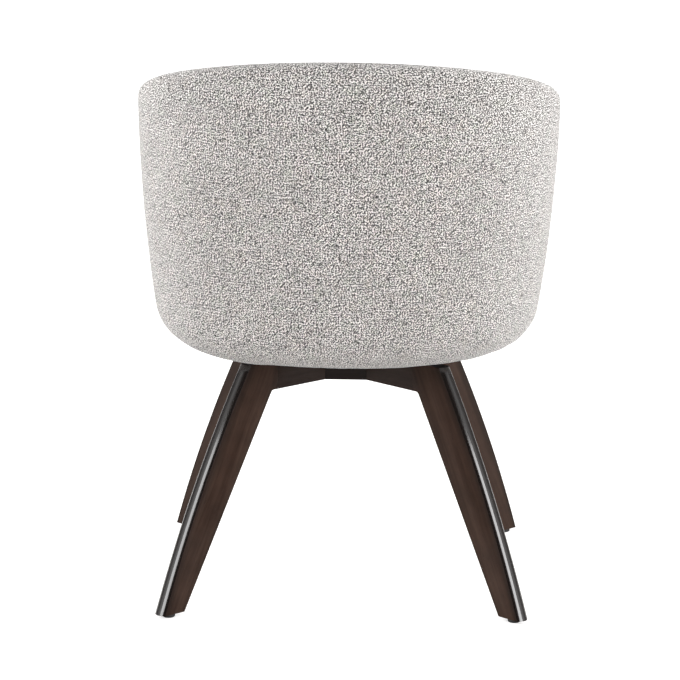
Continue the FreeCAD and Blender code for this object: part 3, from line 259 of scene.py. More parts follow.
MIDDLE = (0.0, 0.0, 0.45)
make_floor()
make_world(0.50, 0.02, 0.90)
make_lamp("left_lamp", (2.66, -1.05, 1.3), MIDDLE, 2.4, 2.2, 102.0)
make_lamp("right_lamp", (-2.7, -0.9, 1.4), MIDDLE, 2.4, 2.2, 99.0)
make_lamp("left_strip_lamp", (1.95, 1.90, 0.98), MIDDLE, 1.35, 1.6, 29.5, mirrored=True)
make_lamp("right_strip_lamp", (-1.95, 1.90, 0.98), MIDDLE, 1.35, 1.6, 36.5, mirrored=True)
make_lamp("back_fill_lamp", (0.4, 3.4, 2.9), MIDDLE, 1.8, 1.4, 31.0)
make_lamp("front_fill_lamp", (-0.6, -3.0, 2.6), MIDDLE, 2.0, 1.4, 46.0)
scene.view_settings.view_transform = "Standard"
print("studio ready")

# %% [markdown]
# ## The tweed
#
# The cover is a salt-and-pepper weave of fine, looped yarn. A Voronoi texture gives one cell
# for each loop. The cell's random colour says how light its yarn is, and the distance from
# its centre tells the pit in the loop, which painted shade makes nearly black, from the light
# yarn round it. Each loop is also painted lighter on one side and darker on the other, as
# painted light and shade. Short slanted strands of plied yarn lie over the loops, a few cells
# are peppered darker, and a faint wave every 4 to 5 mm lines them up in rows and columns.
# The pattern follows the cloth, so it reads a UV map in metres.

# %% Tweed material
LOOP_WIDTH = 3.9 * MM
LOOP_HEIGHT = 3.4 * MM
COLUMN_PITCH = 4.9 * MM
ROW_PITCH = 4.2 * MM
SPECK_SIZE = 2.2 * MM
STRAND_WIDTH = 1.3 * MM
STRAND_LENGTH = 2.1 * MM
STRAND_SLANT = math.radians(45)
WANDER = 0.7 * MM
PALEST_YARN = (0.84, 0.81, 0.785)


def make_tweed():
    material, tree, shader = new_material(
        "tweed", Roughness=0.92, Specular_IOR_Level=0.18, Sheen_Weight=0.35, Sheen_Roughness=0.45)
    cloth = add_node(tree, "ShaderNodeUVMap", uv_map="weave").outputs[0]
    wander = clouds(tree, cloth, 140.0, 2.0, "Color")
    wander = combine(tree, "SUBTRACT", wander, (0.5, 0.5, 0.5))
    wander = combine(tree, "MULTIPLY", wander, (WANDER, WANDER, 0.0))
    moved = combine(tree, "ADD", cloth, wander)
    cells = combine(tree, "MULTIPLY", moved, (1 / LOOP_WIDTH, 1 / LOOP_HEIGHT, 1.0))
    loops = add_node(tree, "ShaderNodeTexVoronoi", {"Vector": cells, "Scale": 1.0, "Randomness": 0.65},
                     voronoi_dimensions="2D", feature="F1")
    round_pit = spread(tree, loops.outputs["Distance"], 0.13, 0.40)
    lot = add_node(tree, "ShaderNodeSeparateColor", {"Color": loops.outputs["Color"]})
    yarn = ramp(tree, lot.outputs[0], [
        (0.00, (0.545, 0.526, 0.511)), (0.30, (0.622, 0.601, 0.584)), (0.65, (0.700, 0.676, 0.657)),
        (1.00, (0.780, 0.753, 0.732))])
    # Painted shade: the pit in each loop is coloured nearly black, for the shade in its hollow
    pit = mixed(tree, lot.outputs[1], (0.018, 0.017, 0.015), (0.130, 0.123, 0.116))
    colour = mixed(tree, round_pit, pit, yarn)

    # Painted light and shade: each loop is made lighter on one side of its yarn and darker where it dives
    # under the next
    inside = combine(tree, "SUBTRACT", cells, loops.outputs["Position"])
    dive = add_node(tree, "ShaderNodeVectorMath", {0: inside, 1: (-0.72, -0.69, 0.0)},
                    operation="DOT_PRODUCT").outputs["Value"]
    colour = times(tree, colour, ramp(tree, calculate(tree, "ADD", dive, 0.5), [
        (0.15, 1.12), (0.50, 1.00), (0.72, 0.85), (0.92, 0.70)]))

    # The plied yarn: short slanted strands, finer than the loops
    turned = add_node(tree, "ShaderNodeVectorRotate", {"Vector": moved, "Angle": STRAND_SLANT},
                      rotation_type="Z_AXIS").outputs[0]
    strand_place = combine(tree, "MULTIPLY", turned, (1 / STRAND_WIDTH, 1 / STRAND_LENGTH, 1.0))
    strands = clouds(tree, strand_place, 1.0, 0.0)
    colour = times(tree, colour, ramp(tree, strands, [(0.405, 0.0), (0.50, 1.04), (0.60, 1.60)]))
    lines = add_node(tree, "ShaderNodeSeparateXYZ", {0: moved}).outputs
    for axis, pitch, depth in ((0, COLUMN_PITCH, 0.08), (1, ROW_PITCH, 0.14)):
        wave = calculate(tree, "SINE", calculate(tree, "MULTIPLY", lines[axis], 2 * math.pi / pitch))
        colour = times(tree, colour, calculate(tree, "MULTIPLY_ADD", wave, depth, 1.0))
    specks = add_node(tree, "ShaderNodeTexVoronoi", {
        "Vector": combine(tree, "MULTIPLY", moved, (1 / SPECK_SIZE, 1 / SPECK_SIZE, 1.0)), "Scale": 1.0},
        voronoi_dimensions="2D", feature="F1")
    pepper = add_node(tree, "ShaderNodeSeparateColor", {"Color": specks.outputs["Color"]}).outputs[0]
    colour = times(tree, colour, ramp(tree, pepper, [(0.0, 0.10), (0.15, 1.0)]))
    fibres = clouds(tree, combine(tree, "MULTIPLY", moved, (1.0, 2.1, 1.0)), 1500.0, 2.0)
    colour = times(tree, colour, ramp(tree, fibres, [(0.3, 0.86), (0.7, 1.12)]))

    # Broad, faint changes of hue and shade over the whole cloth
    patches = clouds(tree, cloth, 42.0, 2.5)
    hues = ramp(tree, patches, [
        (0.34, (0.980, 1.008, 0.962)), (0.46, (1.000, 1.000, 1.000)), (0.58, (1.024, 0.992, 0.992)),
        (0.70, (1.024, 1.000, 0.955))])
    colour = times(tree, colour, hues)
    shade = clouds(tree, cloth, 12.0, 3.0)
    colour = times(tree, colour, ramp(tree, shade, [(0.3, 0.955), (0.7, 1.045)]))
    colour = mixed(tree, 1.0, colour, PALEST_YARN, "DARKEN")

    relief = calculate(tree, "MULTIPLY", round_pit, spread(tree, lot.outputs[2], 0.0, 1.0, 0.6, 1.0))
    relief = calculate(tree, "SUBTRACT", relief, calculate(tree, "MULTIPLY", dive, 0.6))
    relief = calculate(tree, "ADD", relief, calculate(tree, "MULTIPLY", strands, 0.55))
    relief = calculate(tree, "ADD", relief, calculate(tree, "MULTIPLY", fibres, 0.15))
    wire_up(tree, shader, colour, None, relief, 0.9 * MM, 0.85)
    return material


tweed = make_tweed()
print("tweed: loops", LOOP_WIDTH, "by", LOOP_HEIGHT, "m")

# %% [markdown]
# ## The stained wood
#
# The base is solid wood under a dark espresso stain and a satin lacquer. The grain runs
# along each piece, so each wooden mesh carries a `grain` attribute, which is its own place
# along, across and through the board. Noise stretched along the first of those draws the
# streaks, and a finer one the open pores. Three more attributes tell a leg's glossy nose,
# how dark a face is made, which on the arms, the hub, some legs and the eased edges is
# painted shade, and which edge of a leg a point is near.

# %% Stained wood material
DRIFT = 10 * MM
# The darkest colour: a leg's nose and the bands near its edges go towards it, and so does the painted shade
DARK_WOOD_AND_SHADE = (0.0034, 0.0021, 0.0018)
PORE_STAIN = (0.014, 0.0060, 0.0040)


def attribute(tree, name, output="Fac"):
    """A mesh attribute's value, or its output of another name."""
    return add_node(tree, "ShaderNodeAttribute", attribute_name=name).outputs[output]


def make_stained_wood():
    material, tree, shader = new_material(
        "stained_wood", Specular_IOR_Level=0.05, Coat_Roughness=0.13, Coat_IOR=1.9)
    board = attribute(tree, "grain", "Vector")
    drift = combine(tree, "SUBTRACT", clouds(tree, board, 9.0, 2.0, "Color"), (0.5, 0.5, 0.5))
    board = combine(tree, "ADD", board, combine(tree, "MULTIPLY", drift, (0.0, DRIFT, DRIFT)))
    streaks = clouds(tree, combine(tree, "MULTIPLY", board, (3.0, 70.0, 70.0)), 1.0, 5.0, Roughness=0.62)
    pores = clouds(tree, combine(tree, "MULTIPLY", board, (70.0, 1500.0, 1500.0)), 1.0, 2.0)
    cloud = clouds(tree, board, 26.0, 3.0)
    stain = ramp(tree, streaks, [
        (0.30, (0.029, 0.0150, 0.0102)), (0.48, (0.042, 0.0235, 0.0167)),
        (0.62, (0.053, 0.0310, 0.0228)), (0.78, (0.066, 0.0400, 0.0303))])
    stain = times(tree, stain, ramp(tree, cloud, [(0.3, 0.84), (0.7, 1.14)]))
    open_pore = spread(tree, pores, 0.60, 0.70)
    stain = mixed(tree, calculate(tree, "MULTIPLY", open_pore, 0.5), stain, PORE_STAIN)
    nose = attribute(tree, "nose")
    tree.links.new(spread(tree, nose, 0.0, 1.0, 0.08, 1.0), shader.inputs["Coat Weight"])
    # Painted shade: the shade attribute darkens the arms and hub under the seat, some legs and the eased
    # edges; a leg's nose and the bands near its edges are darkened too
    shade = attribute(tree, "shade")
    width = attribute(tree, "width")
    near_outer = spread(tree, width, 0.66, 1.04, 0.0, 0.66)
    near_inner = spread(tree, width, 0.0, 0.16, 0.3, 0.0)
    shade = calculate(tree, "MAXIMUM", shade, calculate(tree, "ADD", near_outer, near_inner))
    stain = mixed(tree, shade, stain, DARK_WOOD_AND_SHADE)
    roughness = spread(tree, streaks, 0.3, 0.7, 0.36, 0.46)
    height = calculate(tree, "SUBTRACT", calculate(tree, "MULTIPLY", streaks, 0.3), open_pore)
    wire_up(tree, shader, stain, roughness, height, 0.08 * MM, 0.6)
    return material


stained_wood = make_stained_wood()
print("stained wood ready")

# %% [markdown]
# ## The tub's form
#
# The tub follows a rule. A profile is drawn at the tub's side, as a distance from the
# swivel's axis and a height, and it is carried round that axis. The plan is an oval: its
# depth is a share of its half width, and at the back that share grows with height. The
# rim climbs to the back, falls along the arms and rounds off at their fronts.

# %% Sizes of the tub
HALF_WIDTH = 302 * MM
WIDEST = 730 * MM
SIDE_RADIUS = 2074 * MM
TUB_BOTTOM = 350 * MM
ROLL_RADIUS = 66 * MM
ROLL_LIP = 9 * MM
RIM_AT_SIDE = 717.5 * MM
RIM_CLIMB = 0.25
ARM_FALL = 1754 * MM
ARM_CORNER = 60 * MM
ARM_CORNER_LENGTH = 45 * MM
RIM_FULLNESS = 1.2 * MM
ROLL_FULLNESS = 2.5
ARM_END = math.radians(120)
FACING_DEPTH = 20 * MM
WALL = 56 * MM
RIM_OUTER = 22 * MM
RIM_INNER = WALL - RIM_OUTER
FRAME_WALL = 10 * MM
COVER_PADDING = 12 * MM
RIM_PADDING = 24 * MM
FRAME_FOOT = 241.5 * MM
FRAME_KNEE = 430 * MM
INNER_FOOT = 60 * MM
LUMBAR = 500 * MM
LUMBAR_BULGE = 7 * MM
GAP = 0.3 * MM
BOARD_BOTTOM = 366 * MM
DECK_BOTTOM = 384.3 * MM
DECK_TOP = 404 * MM
CUSHION_BOTTOM = 404.3 * MM
BACK_SHARE_LOW = 0.90
BACK_SHARE_HIGH = 0.967
FRONT_SHARE = 0.985
BACK_SHARE_RISE = 443 * MM
WEAVE_RADIUS = 285 * MM
SAME_PLACE = 0.02 * MM


# %% The rule in plain numbers
def side_at(height):
    """The tub's outer half width: a large arc that stands upright at its widest."""
    below = WIDEST - min(height, WIDEST)
    return HALF_WIDTH - (SIDE_RADIUS - math.sqrt(SIDE_RADIUS ** 2 - below ** 2))


def share_at(turn, height):
    """The plan's depth as a share of its half width; at the back it grows with height."""
    if math.cos(turn) < 0:
        return FRONT_SHARE
    grown = BACK_SHARE_HIGH - BACK_SHARE_LOW
    return BACK_SHARE_LOW + grown * (height - TUB_BOTTOM) / BACK_SHARE_RISE


def rim_height(turn, past_wall=0.0):
    """The rim's height at a turn from the back, in radians."""
    share = share_at(turn, WIDEST)
    depth = HALF_WIDTH * share / math.hypot(share * math.sin(turn), math.cos(turn)) * math.cos(turn)
    height = RIM_AT_SIDE + RIM_CLIMB * depth + RIM_FULLNESS * math.sin(turn) ** 2
    if depth < 0:
        height -= depth ** 2 / ARM_FALL
    run = (abs(turn) - ARM_END) * HALF_WIDTH + past_wall + ARM_CORNER_LENGTH - FACING_DEPTH
    if run > 0:
        height -= ARM_CORNER - math.sqrt(ARM_CORNER ** 2 - run ** 2)
    return height


def roll_start():
    """Where the roll under the tub meets its side: side, height, and the roll's centre."""
    height = TUB_BOTTOM + ROLL_RADIUS
    lean = math.asin((WIDEST - height) / SIDE_RADIUS)
    height -= ROLL_RADIUS * math.sin(lean)
    side = side_at(height)
    return side, height, side - ROLL_RADIUS * math.cos(lean)


def frame_side(height):
    """The outer face of the plywood shell inside the wall."""
    knee = side_at(FRAME_KNEE) - COVER_PADDING
    if height >= FRAME_KNEE:
        return side_at(height) - COVER_PADDING
    return FRAME_FOOT + (knee - FRAME_FOOT) * (height - BOARD_BOTTOM) / (FRAME_KNEE - BOARD_BOTTOM)


def inner_side(height):
    """The inner padding's face between the deck and the lumbar height."""
    low = side_at(DECK_BOTTOM) - INNER_FOOT
    high = side_at(LUMBAR) - WALL - LUMBAR_BULGE
    return low + (high - low) * (height - DECK_BOTTOM) / (LUMBAR - DECK_BOTTOM)


def arc(centre, radius, first, last, count):
    """Points on an arc in a profile, between two angles from the outward level, in degrees."""
    angles = [math.radians(first + (last - first) * step / count) for step in range(count + 1)]
    return [(centre[0] + radius * math.cos(a), centre[1] + radius * math.sin(a)) for a in angles]


def full_arc(centre, radius, first, last, count):
    """The same between 0 and 90 degrees, but squarer: the padding fills its corner."""
    power = 2 / ROLL_FULLNESS
    points = []
    for step in range(count + 1):
        angle = math.radians(first + (last - first) * step / count)
        out, up = max(0.0, math.cos(angle)), max(0.0, math.sin(angle))
        points.append((centre[0] + radius * out ** power, centre[1] + radius * up ** power))
    return points


def curve_up(side_of, low, high, count):
    """Points on a profile's face, between two heights."""
    heights = [low + (high - low) * step / count for step in range(count + 1)]
    return [(side_of(height), height) for height in heights]


def without_doubles(points):
    """The same points, without those that lie on the one before."""
    kept = [points[0]]
    for point in points[1:]:
        if math.dist(point, kept[-1]) > SAME_PLACE:
            kept.append(point)
    if math.dist(kept[0], kept[-1]) < SAME_PLACE:
        kept.pop()
    return kept


print("rim heights", [round(rim_height(math.radians(turn)), 4) for turn in (0, 60, 90, 120)])

# %% [markdown]
# ## Carrying a flat pattern round the oval
#
# The rule is put into a Geometry Nodes tree, because the same bend serves for every part of
# the tub. Its input is a flat pattern: a vertex holds the turn from the back in X, the
# distance at the tub's side in Y and the height in Z. The tree turns these into a place on
# the oval. A `forward` attribute pushes the arms' fronts out past the ends of the wall.

# %% Geometry Nodes: the oval bend
def new_tree(name, inputs):
    """An empty Geometry Nodes tree with named inputs, as {name: (socket type, default)}."""
    tree = bpy.data.node_groups.new(name, "GeometryNodeTree")
    tree.interface.new_socket("Geometry", in_out="OUTPUT", socket_type="NodeSocketGeometry")
    tree.interface.new_socket("Geometry", in_out="INPUT", socket_type="NodeSocketGeometry")
    for key, (kind, default) in inputs.items():
        socket = tree.interface.new_socket(key, in_out="INPUT", socket_type=f"NodeSocket{kind}")
        if default is not None:
            socket.default_value = default
    return tree, add_node(tree, "NodeGroupInput").outputs


def finish_tree(tree, geometry, material):
    """Every tree ends with real meshes that carry their material."""
    real = add_node(tree, "GeometryNodeRealizeInstances", {"Geometry": geometry})
    painted = add_node(tree, "GeometryNodeSetMaterial", {
        "Geometry": real.outputs[0], "Material": material})
    add_node(tree, "NodeGroupOutput", {"Geometry": painted.outputs[0]})


def make_oval_tree():
    tree, wanted = new_tree("oval_bend", {
        "Bottom": ("Float", TUB_BOTTOM), "Share rise": ("Float", BACK_SHARE_RISE),
        "Back share low": ("Float", BACK_SHARE_LOW), "Back share high": ("Float", BACK_SHARE_HIGH),
        "Front share": ("Float", FRONT_SHARE), "Forward direction": ("Vector", (0.0, 0.0, 0.0)),
        "Cloth": ("Material", None)})
    flat = add_node(tree, "GeometryNodeInputPosition").outputs[0]
    turn, side, height = add_node(tree, "ShaderNodeSeparateXYZ", {0: flat}).outputs
    sine = calculate(tree, "SINE", turn)
    cosine = calculate(tree, "COSINE", turn)
    climb = calculate(tree, "SUBTRACT", height, wanted["Bottom"])
    climb = calculate(tree, "DIVIDE", climb, wanted["Share rise"])
    grown = calculate(tree, "SUBTRACT", wanted["Back share high"], wanted["Back share low"])
    back = calculate(tree, "MULTIPLY_ADD", grown, climb, wanted["Back share low"])
    in_front = calculate(tree, "LESS_THAN", cosine, 0.0)
    change = calculate(tree, "SUBTRACT", wanted["Front share"], back)
    share = calculate(tree, "MULTIPLY_ADD", change, in_front, back)
    across = calculate(tree, "MULTIPLY", share, sine)
    squares = calculate(tree, "MULTIPLY_ADD", across, across, calculate(tree, "MULTIPLY", cosine, cosine))
    reach = calculate(tree, "MULTIPLY", side, share)
    reach = calculate(tree, "DIVIDE", reach, calculate(tree, "SQRT", squares))
    place = add_node(tree, "ShaderNodeCombineXYZ", {
        0: calculate(tree, "MULTIPLY", reach, sine),
        1: calculate(tree, "MULTIPLY", reach, cosine), 2: height})
    step = add_node(tree, "GeometryNodeInputNamedAttribute", {"Name": "forward"}, data_type="FLOAT")
    push = add_node(tree, "ShaderNodeVectorMath", {
        0: wanted["Forward direction"], "Scale": step.outputs[0]}, operation="SCALE")
    bent = add_node(tree, "GeometryNodeSetPosition", {
        "Geometry": wanted["Geometry"], "Position": combine(tree, "ADD", place.outputs[0], push.outputs[0])})
    finish_tree(tree, bent.outputs[0], wanted["Cloth"])
    return tree


def run_tree(thing, tree, **inputs):
    """Runs a tree on an object and keeps its result as a plain mesh."""
    modifier = thing.modifiers.new(tree.name, "NODES")
    modifier.node_group = tree
    sockets = {item.name: item.identifier for item in tree.interface.items_tree if item.in_out == "INPUT"}
    for key, value in inputs.items():
        modifier[sockets[key.replace("_", " ")]] = value
    bpy.context.view_layer.update()
    evaluated = thing.evaluated_get(bpy.context.evaluated_depsgraph_get())
    mesh = bpy.data.meshes.new_from_object(evaluated)
    thing.modifiers.clear()
    mesh.name = thing.name
    thing.data = mesh


oval_bend = make_oval_tree()
print("oval bend:", len(oval_bend.nodes), "nodes")

# %% [markdown]
# ## Patterns and their weave
#
# A pattern is a grid of quads: one row for each turn, and in each row the closed profile of
# the wall. The first and last rows are closed with a cap. The weave's UV map is measured in
# metres, round the tub in one direction and along the profile in the other, so the loops keep
# their size everywhere.

# %% Grid pattern
def add_thing(name, mesh):
    thing = bpy.data.objects.new(name, mesh)
    scene.collection.objects.link(thing)
    return thing


def shade_smooth(mesh):
    mesh.polygons.foreach_set("use_smooth", [True] * len(mesh.polygons))


def rework(thing, work):
    """Edits a mesh with bmesh; the work is a function that gets the bmesh."""
    tool = bmesh.new()
    tool.from_mesh(thing.data)
    work(tool)
    tool.to_mesh(thing.data)
    tool.free()


def ring_grid(name, rows, around, forward=None, patch=None):
    """A closed tube of quads through rings of points, with its weave along and round it.

    A patch gives each point its own place on the cloth instead."""
    count = len(rows[0])
    points = [point for row in rows for point in row]
    faces = []
    corners = []
    along = []
    for row in rows:
        lengths = [0.0]
        for index in range(count):
            lengths.append(lengths[-1] + math.dist(row[index][1:], row[(index + 1) % count][1:]))
        along.append(lengths)
    for r in range(len(rows) - 1):
        for c in range(count):
            d = (c + 1) % count
            faces.append((r * count + c, r * count + d, (r + 1) * count + d, (r + 1) * count + c))
            if patch:
                corners += [patch[r][c], patch[r][d], patch[r + 1][d], patch[r + 1][c]]
            else:
                corners += [(around[r], along[r][c]), (around[r], along[r][c + 1]),
                            (around[r + 1], along[r + 1][c + 1]), (around[r + 1], along[r + 1][c])]
    for r, order in ((0, range(count - 1, -1, -1)), (len(rows) - 1, range(count))):
        faces.append(tuple(r * count + c for c in order))
        corners += [patch[r][c] if patch else rows[r][c][1:] for c in order]
    mesh = bpy.data.meshes.new(name)
    mesh.from_pydata(points, [], faces)
    weave = mesh.uv_layers.new(name="weave")
    weave.data.foreach_set("uv", np.array(corners, dtype=np.float32).ravel())
    shade_smooth(mesh)
    if forward is not None:
        steps = mesh.attributes.new("forward", "FLOAT", "POINT")
        steps.data.foreach_set("value", [value for value in forward for _ in range(count)])
    return add_thing(name, mesh)


def facing_out(thing):
    """Turns every face of a closed mesh outwards."""
    rework(thing, lambda tool: bmesh.ops.recalc_face_normals(tool, faces=tool.faces))


CLOSE_SPAN = 0.14
EVEN_ROWS = 113
CLOSE_ROWS = 13


def wall_turns():
    """Turns of the wall's rows, closer together where the arms' fronts round off."""
    even = np.linspace(-ARM_END + CLOSE_SPAN, ARM_END - CLOSE_SPAN, EVEN_ROWS)
    close = np.linspace(CLOSE_SPAN, 0.0, CLOSE_ROWS)[1:]
    return [*(-(ARM_END - close))[::-1], *even, *(ARM_END - close)]


def even_out(points, count):
    """The same closed profile with a given number of evenly spaced points."""
    loop = np.array(points + [points[0]])
    steps = np.concatenate([[0], np.cumsum(np.linalg.norm(np.diff(loop, axis=0), axis=1))])
    wanted = np.linspace(0, steps[-1], count + 1)[:-1]
    return list(zip(np.interp(wanted, steps, loop[:, 0]), np.interp(wanted, steps, loop[:, 1])))


print("wall rows:", len(wall_turns()))

# %% [markdown]
# ## The outer back
#
# One seamless panel goes round the outside of the tub. It rolls in under the seat at the
# bottom and over the rim at the top, where it is sewn to the inner padding. The seam is a
# small valley: both edges dive in over a 3 mm radius. A very low, broad waviness keeps the
# stretched cloth from looking machined. Along the bottom the wadding is a little lumpy, and
# as in the photograph it has settled lower on one side.

# %% Outer back
SEAM_ROUND = 3.0 * MM
SEAM_STEP = 0.2 * MM
LIP_ROUND = 3.0 * MM
UNDER = BOARD_BOTTOM - GAP


def roll_points(centre, last, count):
    """The lip under the seat and the roll, from straight down to an angle in degrees."""
    lip = centre - ROLL_LIP
    points = [(lip, UNDER), (lip, (UNDER + TUB_BOTTOM + LIP_ROUND) / 2)]
    points += arc((lip + LIP_ROUND, TUB_BOTTOM + LIP_ROUND), LIP_ROUND, 180, 270, 4)
    return points + arc((centre, TUB_BOTTOM + ROLL_RADIUS), ROLL_RADIUS, -90, last, count)


def cover_profile(turn):
    """The closed profile of the outer back, from the lip under the seat outwards and up."""
    side, start, centre = roll_start()
    rim = rim_height(turn)
    shoulder = rim - RIM_OUTER
    crest = side_at(shoulder) - RIM_OUTER
    frame_top = rim - RIM_PADDING
    lean = math.degrees(math.atan2(start - TUB_BOTTOM - ROLL_RADIUS, side - centre))
    points = roll_points(centre, lean, 18)
    points += curve_up(side_at, start, shoulder, 26)
    seam_turn = 90 - math.degrees(SEAM_ROUND / RIM_OUTER)
    points += full_arc((crest, shoulder), RIM_OUTER, 0, seam_turn, 14)
    last = points[-1]
    points += arc((last[0] - SEAM_STEP, last[1] - SEAM_ROUND), SEAM_ROUND, seam_turn, 175, 5)
    points += [(crest, frame_top + GAP), (frame_side(frame_top) + GAP, frame_top + GAP)]
    points += curve_up(lambda height: frame_side(height) + GAP, frame_top, FRAME_KNEE, 4)
    points += [(FRAME_FOOT + GAP, UNDER)]
    return without_doubles(points)


def tub_rows(profile, turns):
    """A profile at each turn, as the flat pattern that the oval bend reads."""
    rows = [profile(turn) for turn in turns]
    count = min(len(row) for row in rows)
    if any(len(row) != count for row in rows):
        raise ValueError("the profiles differ in their number of points")
    return [[(turn, side, height) for side, height in row] for turn, row in zip(turns, rows)]


LUMP_TOP = 400 * MM
LUMP_SCALE = 34.0
LUMP_DEPTH = 1.1 * MM
SETTLED_TURN = math.radians(50)
SETTLED_SPREAD = math.radians(24)
SETTLED_DEPTH = 4.0 * MM


def waver(thing, amount, scale):
    """Moves the surface in and out a little, in broad soft waves, with small lumps low down."""
    mesh = thing.data
    places = [vertex.co.copy() for vertex in mesh.vertices]
    normals = [vertex.normal.copy() for vertex in mesh.vertices]
    for vertex, place, normal in zip(mesh.vertices, places, normals):
        push = noise.noise(place * scale) * amount
        low = min(1.0, max(0.0, (LUMP_TOP - place.z) / (LUMP_TOP - TUB_BOTTOM)))
        if low > 0 and normal.z < 0.1:
            turn = (math.atan2(place.x, place.y) - SETTLED_TURN) / SETTLED_SPREAD
            push += low * noise.noise(place * LUMP_SCALE) * LUMP_DEPTH
            push += min(1.0, 2.5 * low) * math.exp(-turn * turn) * SETTLED_DEPTH
        vertex.co = place + normal * push


def dress(thing, body, slot, fill, *replaced):
    """Attaches a padded piece to what carries it and hides the parts it stands for; the finish and fill
    given are not used.
    """
    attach(thing, body)
    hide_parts(*replaced)
    print(thing.name, len(thing.data.polygons), "faces")


turns = wall_turns()
around = [turn * WEAVE_RADIUS for turn in turns]
outer_back = ring_grid("outer_back", tub_rows(cover_profile, turns), around)
run_tree(outer_back, oval_bend, Cloth=tweed)
facing_out(outer_back)
waver(outer_back, 0.7 * MM, 11.0)
dress(outer_back, "seat", "tweed", 0.9, "outer_cover")

# %% [markdown]
# ## The inner back and arms
#
# The inside is one long pad of foam and wadding under tweed. Cloth simulation swells it: the
# seam at the rim, the foot and the side against the frame are pinned, and air pressure
# pushes out the rest, which leaves a soft fullness that fades towards the seams.

# %% Swelling a pad
SWELL_FRAMES = 20
STIFFNESS = 12.0


def swell(thing, pressure, pinned):
    """Runs Blender's cloth with air pressure, and keeps the swollen shape."""
    cloth = thing.modifiers.new("air", "CLOTH")
    cloth.settings.use_pressure = True
    cloth.settings.uniform_pressure_force = pressure
    cloth.settings.effector_weights.gravity = 0.0
    cloth.settings.quality = 6
    cloth.settings.tension_stiffness = STIFFNESS
    cloth.settings.compression_stiffness = STIFFNESS
    cloth.settings.shear_stiffness = STIFFNESS / 2
    cloth.settings.bending_stiffness = 1.0
    group = thing.vertex_groups.new(name="pinned")
    group.add(pinned, 1.0, "REPLACE")
    cloth.settings.vertex_group_mass = "pinned"
    cloth.point_cache.frame_start = 1
    cloth.point_cache.frame_end = SWELL_FRAMES
    for frame_number in range(1, SWELL_FRAMES + 1):
        scene.frame_set(frame_number)
    evaluated = thing.evaluated_get(bpy.context.evaluated_depsgraph_get())
    swollen = np.empty(len(thing.data.vertices) * 3, dtype=np.float32)
    evaluated.data.vertices.foreach_get("co", swollen)
    thing.modifiers.clear()
    thing.vertex_groups.clear()
    scene.frame_set(1)
    return swollen.reshape(-1, 3)


def keep_within(thing, places, rest, cap):
    """Moves the points to new places, none further from rest than its cap (one, or one each)."""
    moves = places - rest
    lengths = np.linalg.norm(moves, axis=1)
    allowed = np.minimum(1.0, cap / np.maximum(lengths, 1e-9))
    final = rest + moves * allowed[:, None]
    thing.data.vertices.foreach_set("co", final.astype(np.float32).ravel())
    thing.data.update()
    print(thing.name, "swelled by up to", round(float((lengths * allowed).max()) / MM, 1), "mm")


def places_of(thing):
    places = np.empty(len(thing.data.vertices) * 3, dtype=np.float32)
    thing.data.vertices.foreach_get("co", places)
    return places.reshape(-1, 3)


print("cloth runs for", SWELL_FRAMES, "frames")

# %% Inner back
FOOT_EASE = 2 * MM
FREE_POINTS = range(6, 44)
HELD_ROWS = 3
INNER_PRESSURE = 3.0
INNER_CAP = 7 * MM


def pad_profile(turn):
    """The closed profile of the inner padding, from the deck up the inside to the rim's seam."""
    rim = rim_height(turn)
    seam = side_at(rim - RIM_OUTER) - RIM_OUTER - GAP
    radius = RIM_INNER - GAP
    shoulder = rim - GAP - radius
    frame_top = rim - RIM_PADDING
    back = -(FRAME_WALL + GAP)

    def face(height):
        straight = side_at(height) - WALL
        share = (height - LUMBAR) / (shoulder - LUMBAR)
        top = seam - radius - (side_at(shoulder) - WALL)
        return straight - LUMBAR_BULGE * (1 - share ** 2) + share ** 2 * top

    points = [(frame_side(DECK_BOTTOM) + back, DECK_BOTTOM),
              (inner_side(DECK_BOTTOM) + FOOT_EASE, DECK_BOTTOM)]
    points += curve_up(inner_side, DECK_BOTTOM + FOOT_EASE, LUMBAR, 10)
    points += curve_up(face, LUMBAR, shoulder, 22)
    seam_turn = 90 + math.degrees(SEAM_ROUND / radius)
    points += arc((seam, shoulder), radius, 180, seam_turn, 12)
    last = points[-1]
    points += arc((last[0] + SEAM_STEP, last[1] - SEAM_ROUND), SEAM_ROUND, seam_turn, 5, 5)
    points += [(frame_side(frame_top) + back, frame_top)]
    points += curve_up(lambda height: frame_side(height) + back, frame_top, FRAME_KNEE, 4)[1:]
    return without_doubles(points)


inner_back = ring_grid("inner_back", tub_rows(pad_profile, turns), around)
profile_count = len(pad_profile(0.0))
run_tree(inner_back, oval_bend, Cloth=tweed)
facing_out(inner_back)
held = [index for index in range(len(inner_back.data.vertices))
        if index % profile_count not in FREE_POINTS
        or not HELD_ROWS <= index // profile_count < len(turns) - HELD_ROWS]
rest = places_of(inner_back)
keep_within(inner_back, swell(inner_back, INNER_PRESSURE, held), rest, INNER_CAP)
dress(inner_back, "seat", "tweed", 0.8, "inner_pad")

# %% [markdown]
# ## The arms' fronts
#
# Each arm ends in its own padded panel. It starts at the full outline of the wall and draws
# in to a rounded nose, like a pillow's edge, and the last ring closes on a middle line. Its
# foot draws in less than its sides, so that it stays down on the front band.

# %% Arm fronts
NOSE_INSET = 0.75 * RIM_OUTER
FOOT_RISE = 0.25
OUTLINE_POINTS = 96
NOSE_STEPS = 12
CROWN_SHARES = (0.72, 0.45, 0.2, 0.04)
SPINE_FOOT = 40 * MM
SPINE_HEAD = 26 * MM
FRONT_CROWN = 1.6 * MM


